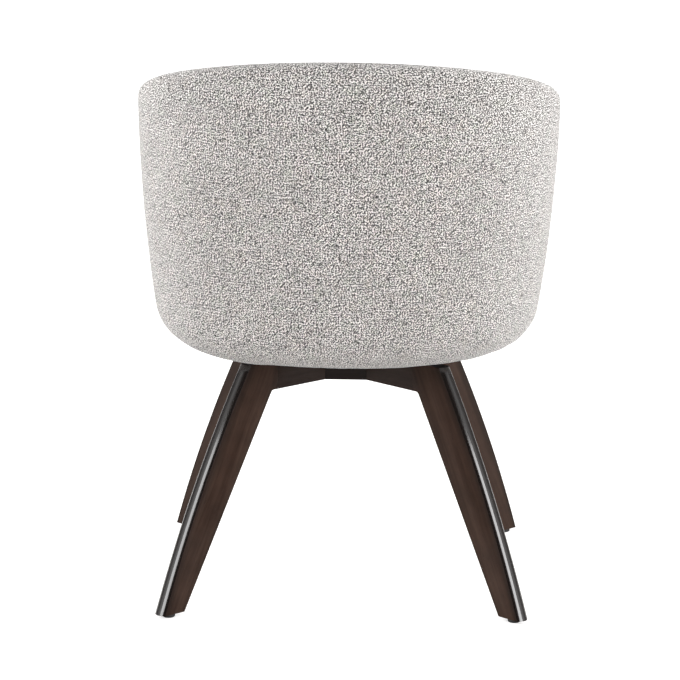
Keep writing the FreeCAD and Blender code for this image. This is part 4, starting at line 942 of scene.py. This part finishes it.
def facing_outline(inset, rim):
    """The outline of an arm's front, drawn in by an inset."""
    shoulder = rim - RIM_OUTER
    crest = side_at(shoulder) - RIM_OUTER
    outer = RIM_OUTER - inset
    inner = RIM_INNER - inset
    bottom = CUSHION_BOTTOM + inset * FOOT_RISE
    low_centre = rim - RIM_INNER

    def inside(height):
        share = (height - LUMBAR) / (low_centre - LUMBAR)
        straight = side_at(height) - WALL - LUMBAR_BULGE * (1 - share ** 2)
        top = crest - RIM_INNER - (side_at(low_centre) - WALL)
        return straight + share ** 2 * top + inset

    points = curve_up(lambda height: side_at(height) - inset, bottom, shoulder, 18)
    points += full_arc((crest, shoulder), outer, 0, 90, 14)
    points += arc((crest, low_centre), inner, 90, 180, 10)
    points += curve_up(inside, low_centre, LUMBAR, 12)
    points += curve_up(lambda height: inner_side(height) + inset, LUMBAR, bottom, 8)
    return even_out(without_doubles(points), OUTLINE_POINTS)


def spine_of(height, top):
    """The middle line of an arm's front, which stops short of its ends."""
    height = min(max(height, CUSHION_BOTTOM + SPINE_FOOT), top - SPINE_HEAD)
    return side_at(height) - WALL / 2, height


def make_facing(name, turn, replaced):
    """An arm's front: rings that draw in to the nose, then the crown inside them."""
    rows = []
    forward = []
    for step in range(NOSE_STEPS + 1):
        swing = math.radians(90) * step / NOSE_STEPS
        depth = GAP + FACING_DEPTH * math.sin(swing)
        inset = NOSE_INSET * (1 - math.cos(swing))
        outline = facing_outline(inset, rim_height(turn, depth))
        rows.append([(turn, side, height) for side, height in outline])
        forward.append(depth)
    outline = rows[-1]
    top = max(height for _, _, height in outline)
    for share in CROWN_SHARES:
        drawn = []
        for _, side, height in outline:
            spine, middle = spine_of(height, top)
            drawn.append((turn, spine + (side - spine) * share, middle + (height - middle) * share))
        rows.append(drawn)
        forward.append(GAP + FACING_DEPTH + FRONT_CROWN * (1 - share ** 2))
    patch = [[None] * len(outline) for _ in rows]
    for c, (_, side, height) in enumerate(outline):
        spine = Vector(spine_of(height, top))
        way = (Vector((side, height)) - spine).normalized()
        walked = 0.0
        before = None
        for r in range(len(rows) - 1, -1, -1):
            here = Vector((rows[r][c][1], rows[r][c][2], forward[r]))
            walked += (here - before).length if before else (here.to_2d() - spine).length
            patch[r][c] = tuple(spine + way * walked)
            before = here
    side = math.copysign(1, turn)
    ahead = Vector((side * math.cos(turn), -abs(math.sin(turn)), 0))
    thing = ring_grid(name, rows, forward, forward, patch)
    run_tree(thing, oval_bend, Cloth=tweed, Forward_direction=ahead)
    facing_out(thing)
    dress(thing, "seat", "tweed", 0.9, replaced)


make_facing("arm_front_pad_left", -ARM_END, "arm_facing_left")
make_facing("arm_front_pad_right", ARM_END, "arm_facing_right")

# %% [markdown]
# ## The front band
#
# Under the cushion a padded band closes the tub's front. It has the same roll at its bottom
# as the outer back, and its top edge is rounded over the front rail.

# %% Front band
BAND_EDGE = 10 * MM


def band_profile(_):
    """The band's closed profile, which is the same at every turn."""
    _, _, centre = roll_start()
    edge_turn = math.degrees(math.acos(1 - (DECK_TOP - BAND_EDGE - TUB_BOTTOM) / ROLL_RADIUS))
    points = roll_points(centre, edge_turn - 90, 16)
    shoulder = points[-1]
    points += arc((shoulder[0] - BAND_EDGE, DECK_TOP - BAND_EDGE), BAND_EDGE, 0, 90, 8)
    points += [(frame_side(DECK_TOP) + GAP, DECK_TOP), (FRAME_FOOT + GAP, UNDER)]
    return without_doubles(points)


edge = ARM_END + GAP / HALF_WIDTH
band_turns = list(np.linspace(edge, 2 * math.pi - edge, 61))
band_around = [turn * WEAVE_RADIUS for turn in band_turns]
front_border = ring_grid("front_border", tub_rows(band_profile, band_turns), band_around)
run_tree(front_border, oval_bend, Cloth=tweed)
facing_out(front_border)
waver(front_border, 0.5 * MM, 13.0)
dress(front_border, "seat", "tweed", 0.85, "front_band")

# %% [markdown]
# ## The seat cushion
#
# The loose cushion is a foam core in a tweed cover with a boxed side. The CAD solid gives
# its plan, drawn-in sides and crown. A copy is remeshed into even quads and swelled like a
# real stuffed cushion; it stays within a millimetre of the CAD side where it meets the arms,
# and may rise more at the crown. The sewn edges are drawn in after the swelling.

# %% Tools for the cushion
CUSHION_TOP_SEAM = 466 * MM
CUSHION_LOW_SEAM = 413 * MM
CUSHION_FORWARD = 40 * MM
CUSHION_WEAVE_RADIUS = 230 * MM
PUCKER_DEPTH = 0.9 * MM
PUCKER_SCALE = 60


def merged_copy(name, node):
    """A new object with the node's mesh, its loose triangles joined."""
    thing = add_thing(name, cad_nodes[node].data.copy())
    rework(thing, lambda tool: bmesh.ops.remove_doubles(tool, verts=tool.verts, dist=0.01 * MM))
    thing.data.materials.clear()
    return thing


def apply_modifiers(thing):
    evaluated = thing.evaluated_get(bpy.context.evaluated_depsgraph_get())
    mesh = bpy.data.meshes.new_from_object(evaluated)
    thing.modifiers.clear()
    thing.data = mesh


def limit_to(thing, node, side_room, top_room):
    """Pulls points back that stand too far out of a CAD node's surface."""
    solid = cad_nodes[node].data
    tree = BVHTree.FromPolygons(
        [vertex.co for vertex in solid.vertices], [face.vertices for face in solid.polygons])
    for vertex in thing.data.vertices:
        spot, normal, _, _ = tree.find_nearest(vertex.co)
        out = (vertex.co - spot).dot(normal)
        lift = max(0.0, normal.z)
        room = side_room + (top_room - side_room) * lift * lift
        if normal.z < -0.5:
            room = 0.0
        if out > room:
            vertex.co = spot + normal * room


def draw_in_seam(thing, height, depth, width):
    """Presses a groove into the side at a height, with small puckers along it."""
    for vertex in thing.data.vertices:
        near = abs(vertex.co.z - height) / width
        if near >= 3.0:
            continue
        level = Vector((vertex.co.x, vertex.co.y + CUSHION_FORWARD, 0.0))
        outward = level.normalized()
        pull = depth * math.exp(-near * near)
        spot = Vector((level.x * PUCKER_SCALE, level.y * PUCKER_SCALE, height * 10))
        pucker = noise.noise(spot) * PUCKER_DEPTH * math.exp(-near)
        vertex.co -= outward * (pull + pucker)


def project_weave(thing):
    """A weave in metres by direction: from above on level faces, and round the side elsewhere."""
    mesh = thing.data
    weave = mesh.uv_layers.get("weave") or mesh.uv_layers.new(name="weave")
    for face in mesh.polygons:
        flat = abs(face.normal.z) > 0.6
        middle_turn = math.atan2(face.center.x, face.center.y)
        for loop, index in zip(face.loop_indices, face.vertices):
            place = mesh.vertices[index].co
            if flat:
                weave.data[loop].uv = (place.x, place.y)
            else:
                turn = math.atan2(place.x, place.y)
                turn += 2 * math.pi * round((middle_turn - turn) / (2 * math.pi))
                weave.data[loop].uv = (turn * CUSHION_WEAVE_RADIUS, place.z)


print("cushion seams at", CUSHION_LOW_SEAM, "and", CUSHION_TOP_SEAM, "m")

# %% Cushion
CUSHION_VOXEL = 5 * MM
CUSHION_PRESSURE = 4.0
START_INSET = 4 * MM
HELD_FOOT = 4 * MM
SIDE_CAP = 2.5 * MM
CROWN_CAP = 12 * MM
SIDE_ROOM = 1 * MM
CROWN_ROOM = 9 * MM
TOP_SEAM_DEPTH = 2.5 * MM
LOW_SEAM_DEPTH = 2.0 * MM
SEAM_WIDTH = 4.5 * MM

seat_pad = merged_copy("seat_cushion_pad", "seat_cushion")
remesh = seat_pad.modifiers.new("even", "REMESH")
remesh.mode = "VOXEL"
remesh.voxel_size = CUSHION_VOXEL
apply_modifiers(seat_pad)
shade_smooth(seat_pad.data)
rest = places_of(seat_pad)
normals = np.empty(len(seat_pad.data.vertices) * 3, dtype=np.float32)
seat_pad.data.vertices.foreach_get("normal", normals)
start = rest - normals.reshape(-1, 3) * START_INSET
start[:, 2] = np.maximum(start[:, 2], CUSHION_BOTTOM)
seat_pad.data.vertices.foreach_set("co", start.ravel())
seat_pad.data.update()
held = [int(index) for index in np.nonzero(rest[:, 2] < CUSHION_BOTTOM + HELD_FOOT)[0]]
upward = np.clip(normals.reshape(-1, 3)[:, 2], 0.0, 1.0)
caps = SIDE_CAP + (CROWN_CAP - SIDE_CAP) * upward ** 3
keep_within(seat_pad, swell(seat_pad, CUSHION_PRESSURE, held), rest, caps)
limit_to(seat_pad, "seat_cushion", SIDE_ROOM, CROWN_ROOM)
draw_in_seam(seat_pad, CUSHION_TOP_SEAM, TOP_SEAM_DEPTH, SEAM_WIDTH)
draw_in_seam(seat_pad, CUSHION_LOW_SEAM, LOW_SEAM_DEPTH, SEAM_WIDTH)
finer = seat_pad.modifiers.new("finer", "SUBSURF")
finer.levels = 1
finer.render_levels = 1
apply_modifiers(seat_pad)
seat_pad.data.materials.append(tweed)
project_weave(seat_pad)
facing_out(seat_pad)
dress(seat_pad, "seat", "tweed", 0.8, "seat_cushion")

# %% [markdown]
# ## Welts on the cushion
#
# The cushion's seams are finished with welts, thin cords sewn into the seam. Each one
# follows the seam all round. The seam line is cut from the swollen cushion, and a Geometry
# Nodes tree sweeps a circle along it.

# %% Geometry Nodes: the welt
WELT_RADIUS = 2.8 * MM


def make_welt_tree():
    tree, wanted = new_tree("welt", {
        "Radius": ("Float", WELT_RADIUS), "Sides": ("Int", 10), "Cloth": ("Material", None)})
    line = add_node(tree, "GeometryNodeMeshToCurve", {0: wanted["Geometry"]}).outputs[0]
    line = add_node(tree, "GeometryNodeCaptureAttribute", {0: line}, domain="POINT")
    line.capture_items.new("FLOAT", "Along")
    spline = add_node(tree, "GeometryNodeSplineParameter")
    tree.links.new(spline.outputs["Length"], line.inputs["Along"])
    circle = add_node(tree, "GeometryNodeCurvePrimitiveCircle", {
        "Resolution": wanted["Sides"], "Radius": wanted["Radius"]}, mode="RADIUS").outputs[0]
    circle = add_node(tree, "GeometryNodeCaptureAttribute", {0: circle}, domain="POINT")
    circle.capture_items.new("FLOAT", "Round")
    profile = add_node(tree, "GeometryNodeSplineParameter")
    tree.links.new(profile.outputs["Length"], circle.inputs["Round"])
    tube = add_node(tree, "GeometryNodeCurveToMesh", {
        "Curve": line.outputs[0], "Profile Curve": circle.outputs[0]})
    place = add_node(tree, "ShaderNodeCombineXYZ", {
        0: line.outputs["Along"], 1: circle.outputs["Round"]})
    weave = add_node(tree, "GeometryNodeStoreNamedAttribute", {
        "Geometry": tube.outputs[0], "Name": "weave", "Value": place.outputs[0]},
        data_type="FLOAT2", domain="CORNER")
    smooth = add_node(tree, "GeometryNodeSetShadeSmooth", {"Geometry": weave.outputs[0]})
    finish_tree(tree, smooth.outputs[0], wanted["Cloth"])
    return tree


def seam_line(thing, height, spacing=6 * MM):
    """The outline of a mesh at a height, as evenly spaced points in order round it."""
    tool = bmesh.new()
    tool.from_mesh(thing.data)
    everything = list(tool.verts) + list(tool.edges) + list(tool.faces)
    found = bmesh.ops.bisect_plane(tool, geom=everything, plane_co=(0, 0, height), plane_no=(0, 0, 1))
    edges = [item for item in found["geom_cut"] if isinstance(item, bmesh.types.BMEdge)]
    links = {}
    for line in edges:
        first, last = line.verts
        links.setdefault(first, []).append(last)
        links.setdefault(last, []).append(first)
    start = max(links, key=lambda vertex: vertex.co.y)
    loop = [start]
    before, here = None, start
    while True:
        ahead = [vertex for vertex in links[here] if vertex is not before]
        if not ahead or ahead[0] is start:
            break
        before, here = here, ahead[0]
        loop.append(here)
    points = np.array([tuple(vertex.co) for vertex in loop])
    tool.free()
    closed = np.vstack([points, points[:1]])
    lengths = np.concatenate([[0], np.cumsum(np.linalg.norm(np.diff(closed, axis=0), axis=1))])
    count = int(lengths[-1] / spacing)
    wanted = np.linspace(0, lengths[-1], count + 1)[:-1]
    even = np.stack([np.interp(wanted, lengths, closed[:, axis]) for axis in range(3)], axis=1)
    for _ in range(3):
        even = (np.roll(even, 1, axis=0) + 2 * even + np.roll(even, -1, axis=0)) / 4
    even[:, 2] = height
    return even


def add_line(name, points, closed=True):
    """An object that is only a line of edges, for a tree to follow."""
    count = len(points)
    edges = [(index, (index + 1) % count) for index in range(count if closed else count - 1)]
    mesh = bpy.data.meshes.new(name)
    mesh.from_pydata([tuple(point) for point in points], edges, [])
    return add_thing(name, mesh)


welt_tree = make_welt_tree()
for name, height in (("cushion_welt_top", CUSHION_TOP_SEAM), ("cushion_welt_low", CUSHION_LOW_SEAM)):
    welt = add_line(name, seam_line(seat_pad, height))
    run_tree(welt, welt_tree, Cloth=tweed)
    facing_out(welt)
    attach(welt, "seat")
    print(name, len(welt.data.polygons), "faces")

# %% [markdown]
# ## Stitches
#
# A row of stitches along the rim, on the inner side, holds the seam allowance down. A
# Geometry Nodes tree puts one small stitch at each step of the row, with a fixed seed for its
# slight unevenness.

# %% Geometry Nodes: a row of stitches
STITCH_INSET = 9 * MM
STITCH_LIFT = 0.1 * MM


def make_stitch_tree():
    tree, wanted = new_tree("stitch_row", {
        "Pitch": ("Float", 5.6 * MM), "Stitch length": ("Float", 4.2 * MM),
        "Thread": ("Float", 0.42 * MM), "Unevenness": ("Float", 0.06), "Seed": ("Int", 7),
        "Thread finish": ("Material", None)})
    line = add_node(tree, "GeometryNodeMeshToCurve", {0: wanted["Geometry"]}).outputs[0]
    steps = add_node(tree, "GeometryNodeResampleCurve", {
        "Curve": line, "Length": wanted["Pitch"]}, mode="LENGTH").outputs[0]
    bead = add_node(tree, "GeometryNodeMeshUVSphere", {"Segments": 8, "Rings": 5, "Radius": 0.5}).outputs[0]
    thick = calculate(tree, "MULTIPLY", wanted["Thread"], 2.0)
    shape = add_node(tree, "ShaderNodeCombineXYZ", {0: thick, 1: thick, 2: wanted["Stitch length"]})
    heading = add_node(tree, "GeometryNodeInputTangent").outputs[0]
    low = calculate(tree, "MULTIPLY", wanted["Unevenness"], -1.0)
    stray = add_node(tree, "FunctionNodeRandomValue", {"Seed": wanted["Seed"]}, data_type="FLOAT_VECTOR")
    for socket, value in ((stray.inputs[0], low), (stray.inputs[1], wanted["Unevenness"])):
        corner = add_node(tree, "ShaderNodeCombineXYZ", {0: value, 1: value, 2: value})
        tree.links.new(corner.outputs[0], socket)
    heading = combine(tree, "ADD", heading, stray.outputs[0])
    turned = add_node(tree, "FunctionNodeAlignRotationToVector", {"Vector": heading}, axis="Z")
    row = add_node(tree, "GeometryNodeInstanceOnPoints", {
        "Points": steps, "Instance": bead, "Rotation": turned.outputs[0], "Scale": shape.outputs[0]})
    smooth = add_node(tree, "GeometryNodeSetShadeSmooth", {
        "Geometry": add_node(tree, "GeometryNodeRealizeInstances", {"Geometry": row.outputs[0]}).outputs[0]})
    finish_tree(tree, smooth.outputs[0], wanted["Thread finish"])
    return tree


def make_thread():
    material, tree, shader = new_material("sewing_thread", Roughness=0.7, Specular_IOR_Level=0.3)
    twist = clouds(tree, object_place(tree), 2200.0, 2.0)
    wire_up(tree, shader, ramp(tree, twist, [(0.3, (0.42, 0.40, 0.37)), (0.7, (0.66, 0.64, 0.60))]),
            None, twist, 0.1 * MM, 0.6)
    return material


def oval_place(turn, side, height):
    """A profile's point carried round to a turn: the oval bend in plain numbers."""
    share = share_at(turn, height)
    reach = side * share / math.hypot(share * math.sin(turn), math.cos(turn))
    return Vector((reach * math.sin(turn), reach * math.cos(turn), height))


def rim_stitch_line():
    """Points on the inner pad, a little below the rim's seam."""
    points = []
    radius = RIM_INNER - GAP
    swing = math.radians(90) + STITCH_INSET / radius
    for turn in turns:
        rim = rim_height(turn)
        seam = side_at(rim - RIM_OUTER) - RIM_OUTER - GAP
        centre = rim - GAP - radius
        points.append(oval_place(
            turn, seam + radius * math.cos(swing), centre + radius * math.sin(swing)))
    return points


def settle_on(points, thing, lift):
    """Drops points onto a mesh and lifts them off it by a little."""
    tree = BVHTree.FromObject(thing, bpy.context.evaluated_depsgraph_get())
    settled = []
    for point in points:
        spot, normal, _, _ = tree.find_nearest(Vector(point))
        settled.append(spot + normal * lift)
    return settled


stitch_tree = make_stitch_tree()
thread = make_thread()
stitch_path = settle_on(rim_stitch_line(), inner_back, STITCH_LIFT)
rim_stitches = add_line("rim_stitches", stitch_path, closed=False)
run_tree(rim_stitches, stitch_tree, Thread_finish=thread)
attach(rim_stitches, "seat")
print("rim stitches:", len(rim_stitches.data.polygons), "faces")

# %% [markdown]
# ## The deck and the dust cover
#
# A sheet of foam lies on the seat board under the cushion. Below, a thin black cloth is
# stapled to the board, with a window for the swivel plate. The cloth is a grid between the
# square window and the oval edge, and it sags a little between its staples.

# %% Foam, plywood and thin cloth finishes
def make_foam():
    material, tree, shader = new_material("cut_foam", Roughness=0.95, Specular_IOR_Level=0.1)
    place = object_place(tree)
    cells = add_node(tree, "ShaderNodeTexVoronoi", {"Vector": place, "Scale": 650.0}).outputs["Distance"]
    tone = clouds(tree, place, 14.0, 3.0)
    colour = ramp(tree, tone, [(0.3, (0.72, 0.66, 0.48)), (0.7, (0.83, 0.79, 0.65))])
    colour = times(tree, colour, ramp(tree, cells, [(0.0, 0.72), (0.5, 1.05)]))
    wire_up(tree, shader, colour, None, cells, 0.5 * MM, 0.7)
    return material


VENEER = 3.6 * MM


def make_plywood():
    material, tree, shader = new_material("plywood", Roughness=0.7, Specular_IOR_Level=0.25)
    place = object_place(tree)
    height = add_node(tree, "ShaderNodeSeparateXYZ", {0: place}).outputs[2]
    layers = calculate(tree, "FRACT", calculate(tree, "MULTIPLY", height, 1 / VENEER))
    grain = clouds(tree, combine(tree, "MULTIPLY", place, (14.0, 160.0, 400.0)), 1.0, 4.0)
    colour = ramp(tree, grain, [
        (0.3, (0.46, 0.32, 0.18)), (0.55, (0.60, 0.46, 0.30)), (0.75, (0.70, 0.56, 0.38))])
    banded = times(tree, colour, ramp(tree, layers, [(0.45, 0.78), (0.5, 1.06)]))
    wire_up(tree, shader, mixed(tree, 0.5, colour, banded), None, grain, 0.15 * MM, 0.5)
    return material


def make_black_cloth():
    material, tree, shader = new_material(
        "dust_cloth", Roughness=0.9, Specular_IOR_Level=0.2, Sheen_Weight=0.15)
    place = object_place(tree)
    strands = clouds(tree, place, 900.0, 3.0)
    dots = add_node(tree, "ShaderNodeTexVoronoi", {
        "Vector": place, "Scale": 420.0, "Randomness": 0.1})
    pressed = spread(tree, dots.outputs["Distance"], 0.15, 0.35)
    colour = ramp(tree, strands, [(0.3, (0.018, 0.018, 0.019)), (0.7, (0.045, 0.045, 0.046))])
    relief = calculate(tree, "ADD", pressed, calculate(tree, "MULTIPLY", strands, 0.5))
    wire_up(tree, shader, colour, None, relief, 0.15 * MM, 0.6)
    return material


foam = make_foam()
plywood = make_plywood()
black_cloth = make_black_cloth()
print("foam, plywood and black cloth ready")

# %% Deck foam
deck_pad = merged_copy("deck_pad", "deck_foam")
ease = deck_pad.modifiers.new("ease", "BEVEL")
ease.width = 2 * MM
ease.segments = 3
ease.limit_method = "ANGLE"
apply_modifiers(deck_pad)
deck_pad.data.materials.append(foam)
dress(deck_pad, "seat", "foam", 1.0, "deck_foam")

# %% Dust cover
CLOTH_TOP = 366 * MM
CLOTH_THICKNESS = 0.5 * MM
CLOTH_SIDE = 199.3 * MM
WINDOW_HALF = 97 * MM
STAPLES = 24
CLOTH_STEPS = 192
CLOTH_RINGS = 14
CLOTH_BELLY = 0.5 * MM
STAPLE_SAG = 0.25 * MM
CLOTH_CLEARANCE = 0.05 * MM


def make_dust_cloth():
    """A grid from the window to the oval edge, with a slight belly, thickened to a cloth."""
    points = []
    for step in range(CLOTH_STEPS):
        turn = 2 * math.pi * step / CLOTH_STEPS
        share = FRONT_SHARE if math.cos(turn) < 0 else BACK_SHARE_LOW
        reach = CLOTH_SIDE * share / math.hypot(share * math.sin(turn), math.cos(turn))
        start = WINDOW_HALF / max(abs(math.sin(turn)), abs(math.cos(turn)))
        between = 0.5 - 0.5 * math.cos(turn * STAPLES)
        for ring in range(CLOTH_RINGS + 1):
            part = ring / CLOTH_RINGS
            out = start + (reach - start) * part
            belly = math.sin(math.pi * part) * CLOTH_BELLY + between * part ** 6 * STAPLE_SAG
            height = CLOTH_TOP - CLOTH_CLEARANCE - belly
            points.append((out * math.sin(turn), out * math.cos(turn), height))
    row = CLOTH_RINGS + 1
    faces = []
    for step in range(CLOTH_STEPS):
        here, ahead = step * row, (step + 1) % CLOTH_STEPS * row
        faces += [(here + r, here + r + 1, ahead + r + 1, ahead + r) for r in range(CLOTH_RINGS)]
    mesh = bpy.data.meshes.new("dust_cloth")
    mesh.from_pydata(points, [], faces)
    shade_smooth(mesh)
    thing = add_thing("dust_cloth", mesh)
    solid = thing.modifiers.new("thick", "SOLIDIFY")
    solid.thickness = CLOTH_THICKNESS
    solid.offset = -1.0
    apply_modifiers(thing)
    thing.data.materials.append(black_cloth)
    return thing


dust_cloth = make_dust_cloth()
facing_out(dust_cloth)
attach(dust_cloth, "seat")
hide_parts("dust_cover")

# %% [markdown]
# ## The wooden base
#
# The legs, arms and hub have the right shape in CAD, but their edges are razor sharp, and a
# real edge is always eased with sandpaper and catches a thin line of light. Each piece is
# copied, its flat faces are joined up, and a small bevel rounds every sharp edge. Then each
# vertex gets its place in the board for the grain, and each face how dark it is made: the
# eased edges, the arms, the hub and some legs get painted shade, and a leg's nose is darkest.

# %% Eased wooden pieces
EASE = 1.1 * MM
FLAT_ANGLE = math.radians(0.5)
SHARP_ANGLE = math.radians(24)
# How dark faces are made: a leg's nose is darkest, and the eased edges get painted shade
NOSE_SHADE = 0.93
EDGE_PAINTED_SHADE = 0.8
NOSE_SIDEWAYS = 0.77
NOSE_OUTWARDS = 0.3
NOSE_UPWARDS = 0.64
FLAT_FACE = 0.97
# Painted shade on the arms and hub, which lie in shade under the seat
ARM_PAINTED_SHADE = 0.46
HUB_PAINTED_SHADE = 0.80


def eased_wood(name, node, along, across, origin, shade, outwards=None, middle=None):
    """A wooden piece with eased edges darkened by painted shade, and its grain along a direction.

    The shade given is painted shade over the whole piece; a leg's nose, which looks outwards,
    is darkest."""
    thing = merged_copy(name, node)
    rework(thing, lambda tool: bmesh.ops.dissolve_limit(
        tool, angle_limit=FLAT_ANGLE, verts=tool.verts, edges=tool.edges))
    ease = thing.modifiers.new("ease", "BEVEL")
    ease.width = EASE
    ease.segments = 3
    ease.limit_method = "ANGLE"
    ease.angle_limit = SHARP_ANGLE
    apply_modifiers(thing)
    rework(thing, lambda tool: bmesh.ops.triangulate(
        tool, faces=[face for face in tool.faces if len(face.verts) > 4]))
    shade_smooth(thing.data)
    flatten = thing.modifiers.new("flatten", "WEIGHTED_NORMAL")
    flatten.mode = "FACE_AREA"
    flatten.weight = 90
    apply_modifiers(thing)
    mesh = thing.data
    along = Vector(along).normalized()
    through = along.cross(Vector(across)).normalized()
    across = through.cross(along)
    grain = mesh.attributes.new("grain", "FLOAT_VECTOR", "POINT")
    values = []
    for vertex in mesh.vertices:
        spot = vertex.co - Vector(origin)
        values += [spot.dot(along), spot.dot(across), spot.dot(through)]
    grain.data.foreach_set("vector", values)
    noses = []
    shades = []
    for face in mesh.polygons:
        parts = sorted(abs(face.normal.dot(way)) for way in (along, across, through))
        sideways = abs(face.normal.dot(across))
        is_nose = outwards is not None and sideways < NOSE_SIDEWAYS
        is_nose = is_nose and face.normal.dot(outwards) > NOSE_OUTWARDS
        is_nose = is_nose and face.normal.z < NOSE_UPWARDS
        noses.append(float(is_nose))
        # Painted shade: eased edges are darkened, and each piece carries its own painted shade
        is_edge = parts[-1] < FLAT_FACE
        shades.append(NOSE_SHADE if is_nose else max(shade, EDGE_PAINTED_SHADE) if is_edge else shade)
    widths = [0.5] * len(mesh.vertices)
    if outwards is not None:
        outer = outwards - along * outwards.dot(along)
        widths = [float((vertex.co - Vector(middle)).dot(outer) > 0) for vertex in mesh.vertices]
    mesh.attributes.new("width", "FLOAT", "POINT").data.foreach_set("value", widths)
    mesh.attributes.new("nose", "FLOAT", "FACE").data.foreach_set("value", noses)
    mesh.attributes.new("shade", "FLOAT", "FACE").data.foreach_set("value", shades)
    mesh.materials.append(stained_wood)
    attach(thing, "base")
    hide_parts(node)
    print(name, len(mesh.polygons), "faces")


FOOT_REACH, FOOT_HEIGHT = 343.2 * MM, 5 * MM
KNEE_REACH, KNEE_HEIGHT = 172 * MM, 342 * MM
LEG_TURNS = {"rear_left": 135, "rear_right": 45, "front_left": 225, "front_right": 315}
# Painted shade on the legs: some are made darker than others, for the shade they stand in
LEG_PAINTED_SHADES = {"rear_left": 0.12, "rear_right": 0.0, "front_left": 0.14, "front_right": 0.38}
for number, (corner, angle) in enumerate(LEG_TURNS.items()):
    outwards = Vector((math.cos(math.radians(angle)), math.sin(math.radians(angle)), 0))
    sideways = Vector((-outwards.y, outwards.x, 0))
    foot = outwards * FOOT_REACH + Vector((0, 0, FOOT_HEIGHT))
    knee = outwards * KNEE_REACH + Vector((0, 0, KNEE_HEIGHT))
    shift = Vector((0.31, 0.17, 0.11)) * number
    eased_wood(f"wooden_leg_{corner}", f"leg_{corner}", knee - foot, sideways, foot + shift,
               LEG_PAINTED_SHADES[corner], outwards, foot)
    eased_wood(f"wooden_arm_{corner}", f"arm_{corner}", outwards, sideways, shift * 1.7, ARM_PAINTED_SHADE)
eased_wood("wooden_hub", "base_hub", (1, 0, 0), (0, 1, 0), (0.4, 0.2, 0.1), HUB_PAINTED_SHADE)

# %% [markdown]
# ## Metal, nylon, plastic and bare wood
#
# The remaining pieces keep their CAD mesh and get a finish: bright zinc on the fasteners,
# black powder coat on the plates, polished balls, nylon, and the glides' matte plastic.

# %% Metal and plastic finishes
def make_metal(name, colour, roughness, metallic=1.0, speckle=0.12, scale=320.0, depth=0.02 * MM):
    """A metal or a moulding whose tone and gloss vary a little over its surface."""
    material, tree, shader = new_material(name, Metallic=metallic)
    place = object_place(tree)
    fine = clouds(tree, place, scale, 4.0)
    broad = clouds(tree, place, 40.0, 2.0)
    dark = tuple(part * (1 - speckle) for part in colour)
    light = tuple(min(1.0, part * (1 + speckle)) for part in colour)
    wire_up(tree, shader, ramp(tree, fine, [(0.3, dark), (0.7, light)]),
            spread(tree, broad, 0.3, 0.7, roughness * 0.85, roughness * 1.2), fine, depth, 0.5)
    return material


def make_beech():
    material, tree, shader = new_material("bare_beech", Roughness=0.6, Specular_IOR_Level=0.3)
    place = object_place(tree)
    flecks = clouds(tree, combine(tree, "MULTIPLY", place, (60.0, 60.0, 420.0)), 1.0, 4.0)
    wire_up(tree, shader, ramp(tree, flecks, [(0.3, (0.48, 0.32, 0.18)), (0.7, (0.68, 0.51, 0.33))]),
            None, flecks, 0.1 * MM, 0.4)
    return material


finishes = {
    "black_plastic": make_metal(
        "matte_black_plastic", (0.022, 0.022, 0.022), 0.55, 0.0, 0.25, 900.0, 0.05 * MM),
    "nylon": make_metal("natural_nylon", (0.74, 0.73, 0.68), 0.45, 0.0, 0.05, 300.0),
    "black_steel": make_metal(
        "black_powder_coat", (0.021, 0.021, 0.023), 0.42, 0.0, 0.3, 1500.0, 0.06 * MM),
    "zinc_steel": make_metal("bright_zinc", (0.62, 0.62, 0.60), 0.34),
    "bearing_steel": make_metal("polished_steel", (0.76, 0.76, 0.77), 0.10, 1.0, 0.03),
    "beech": make_beech(),
    "plywood": plywood,
}
slot_of = {part["node"]: part["material_slot"] for part in frame["record"]["subparts"]}
finished = 0
for node, thing in cad_nodes.items():
    if thing.hide_render or slot_of.get(node) not in finishes:
        continue
    finished += 1
    if thing.material_slots:
        for holder in thing.material_slots:
            holder.link = "OBJECT"
            holder.material = finishes[slot_of[node]]
    else:
        thing.data.materials.append(finishes[slot_of[node]])
print("finishes given to", finished, "CAD nodes")
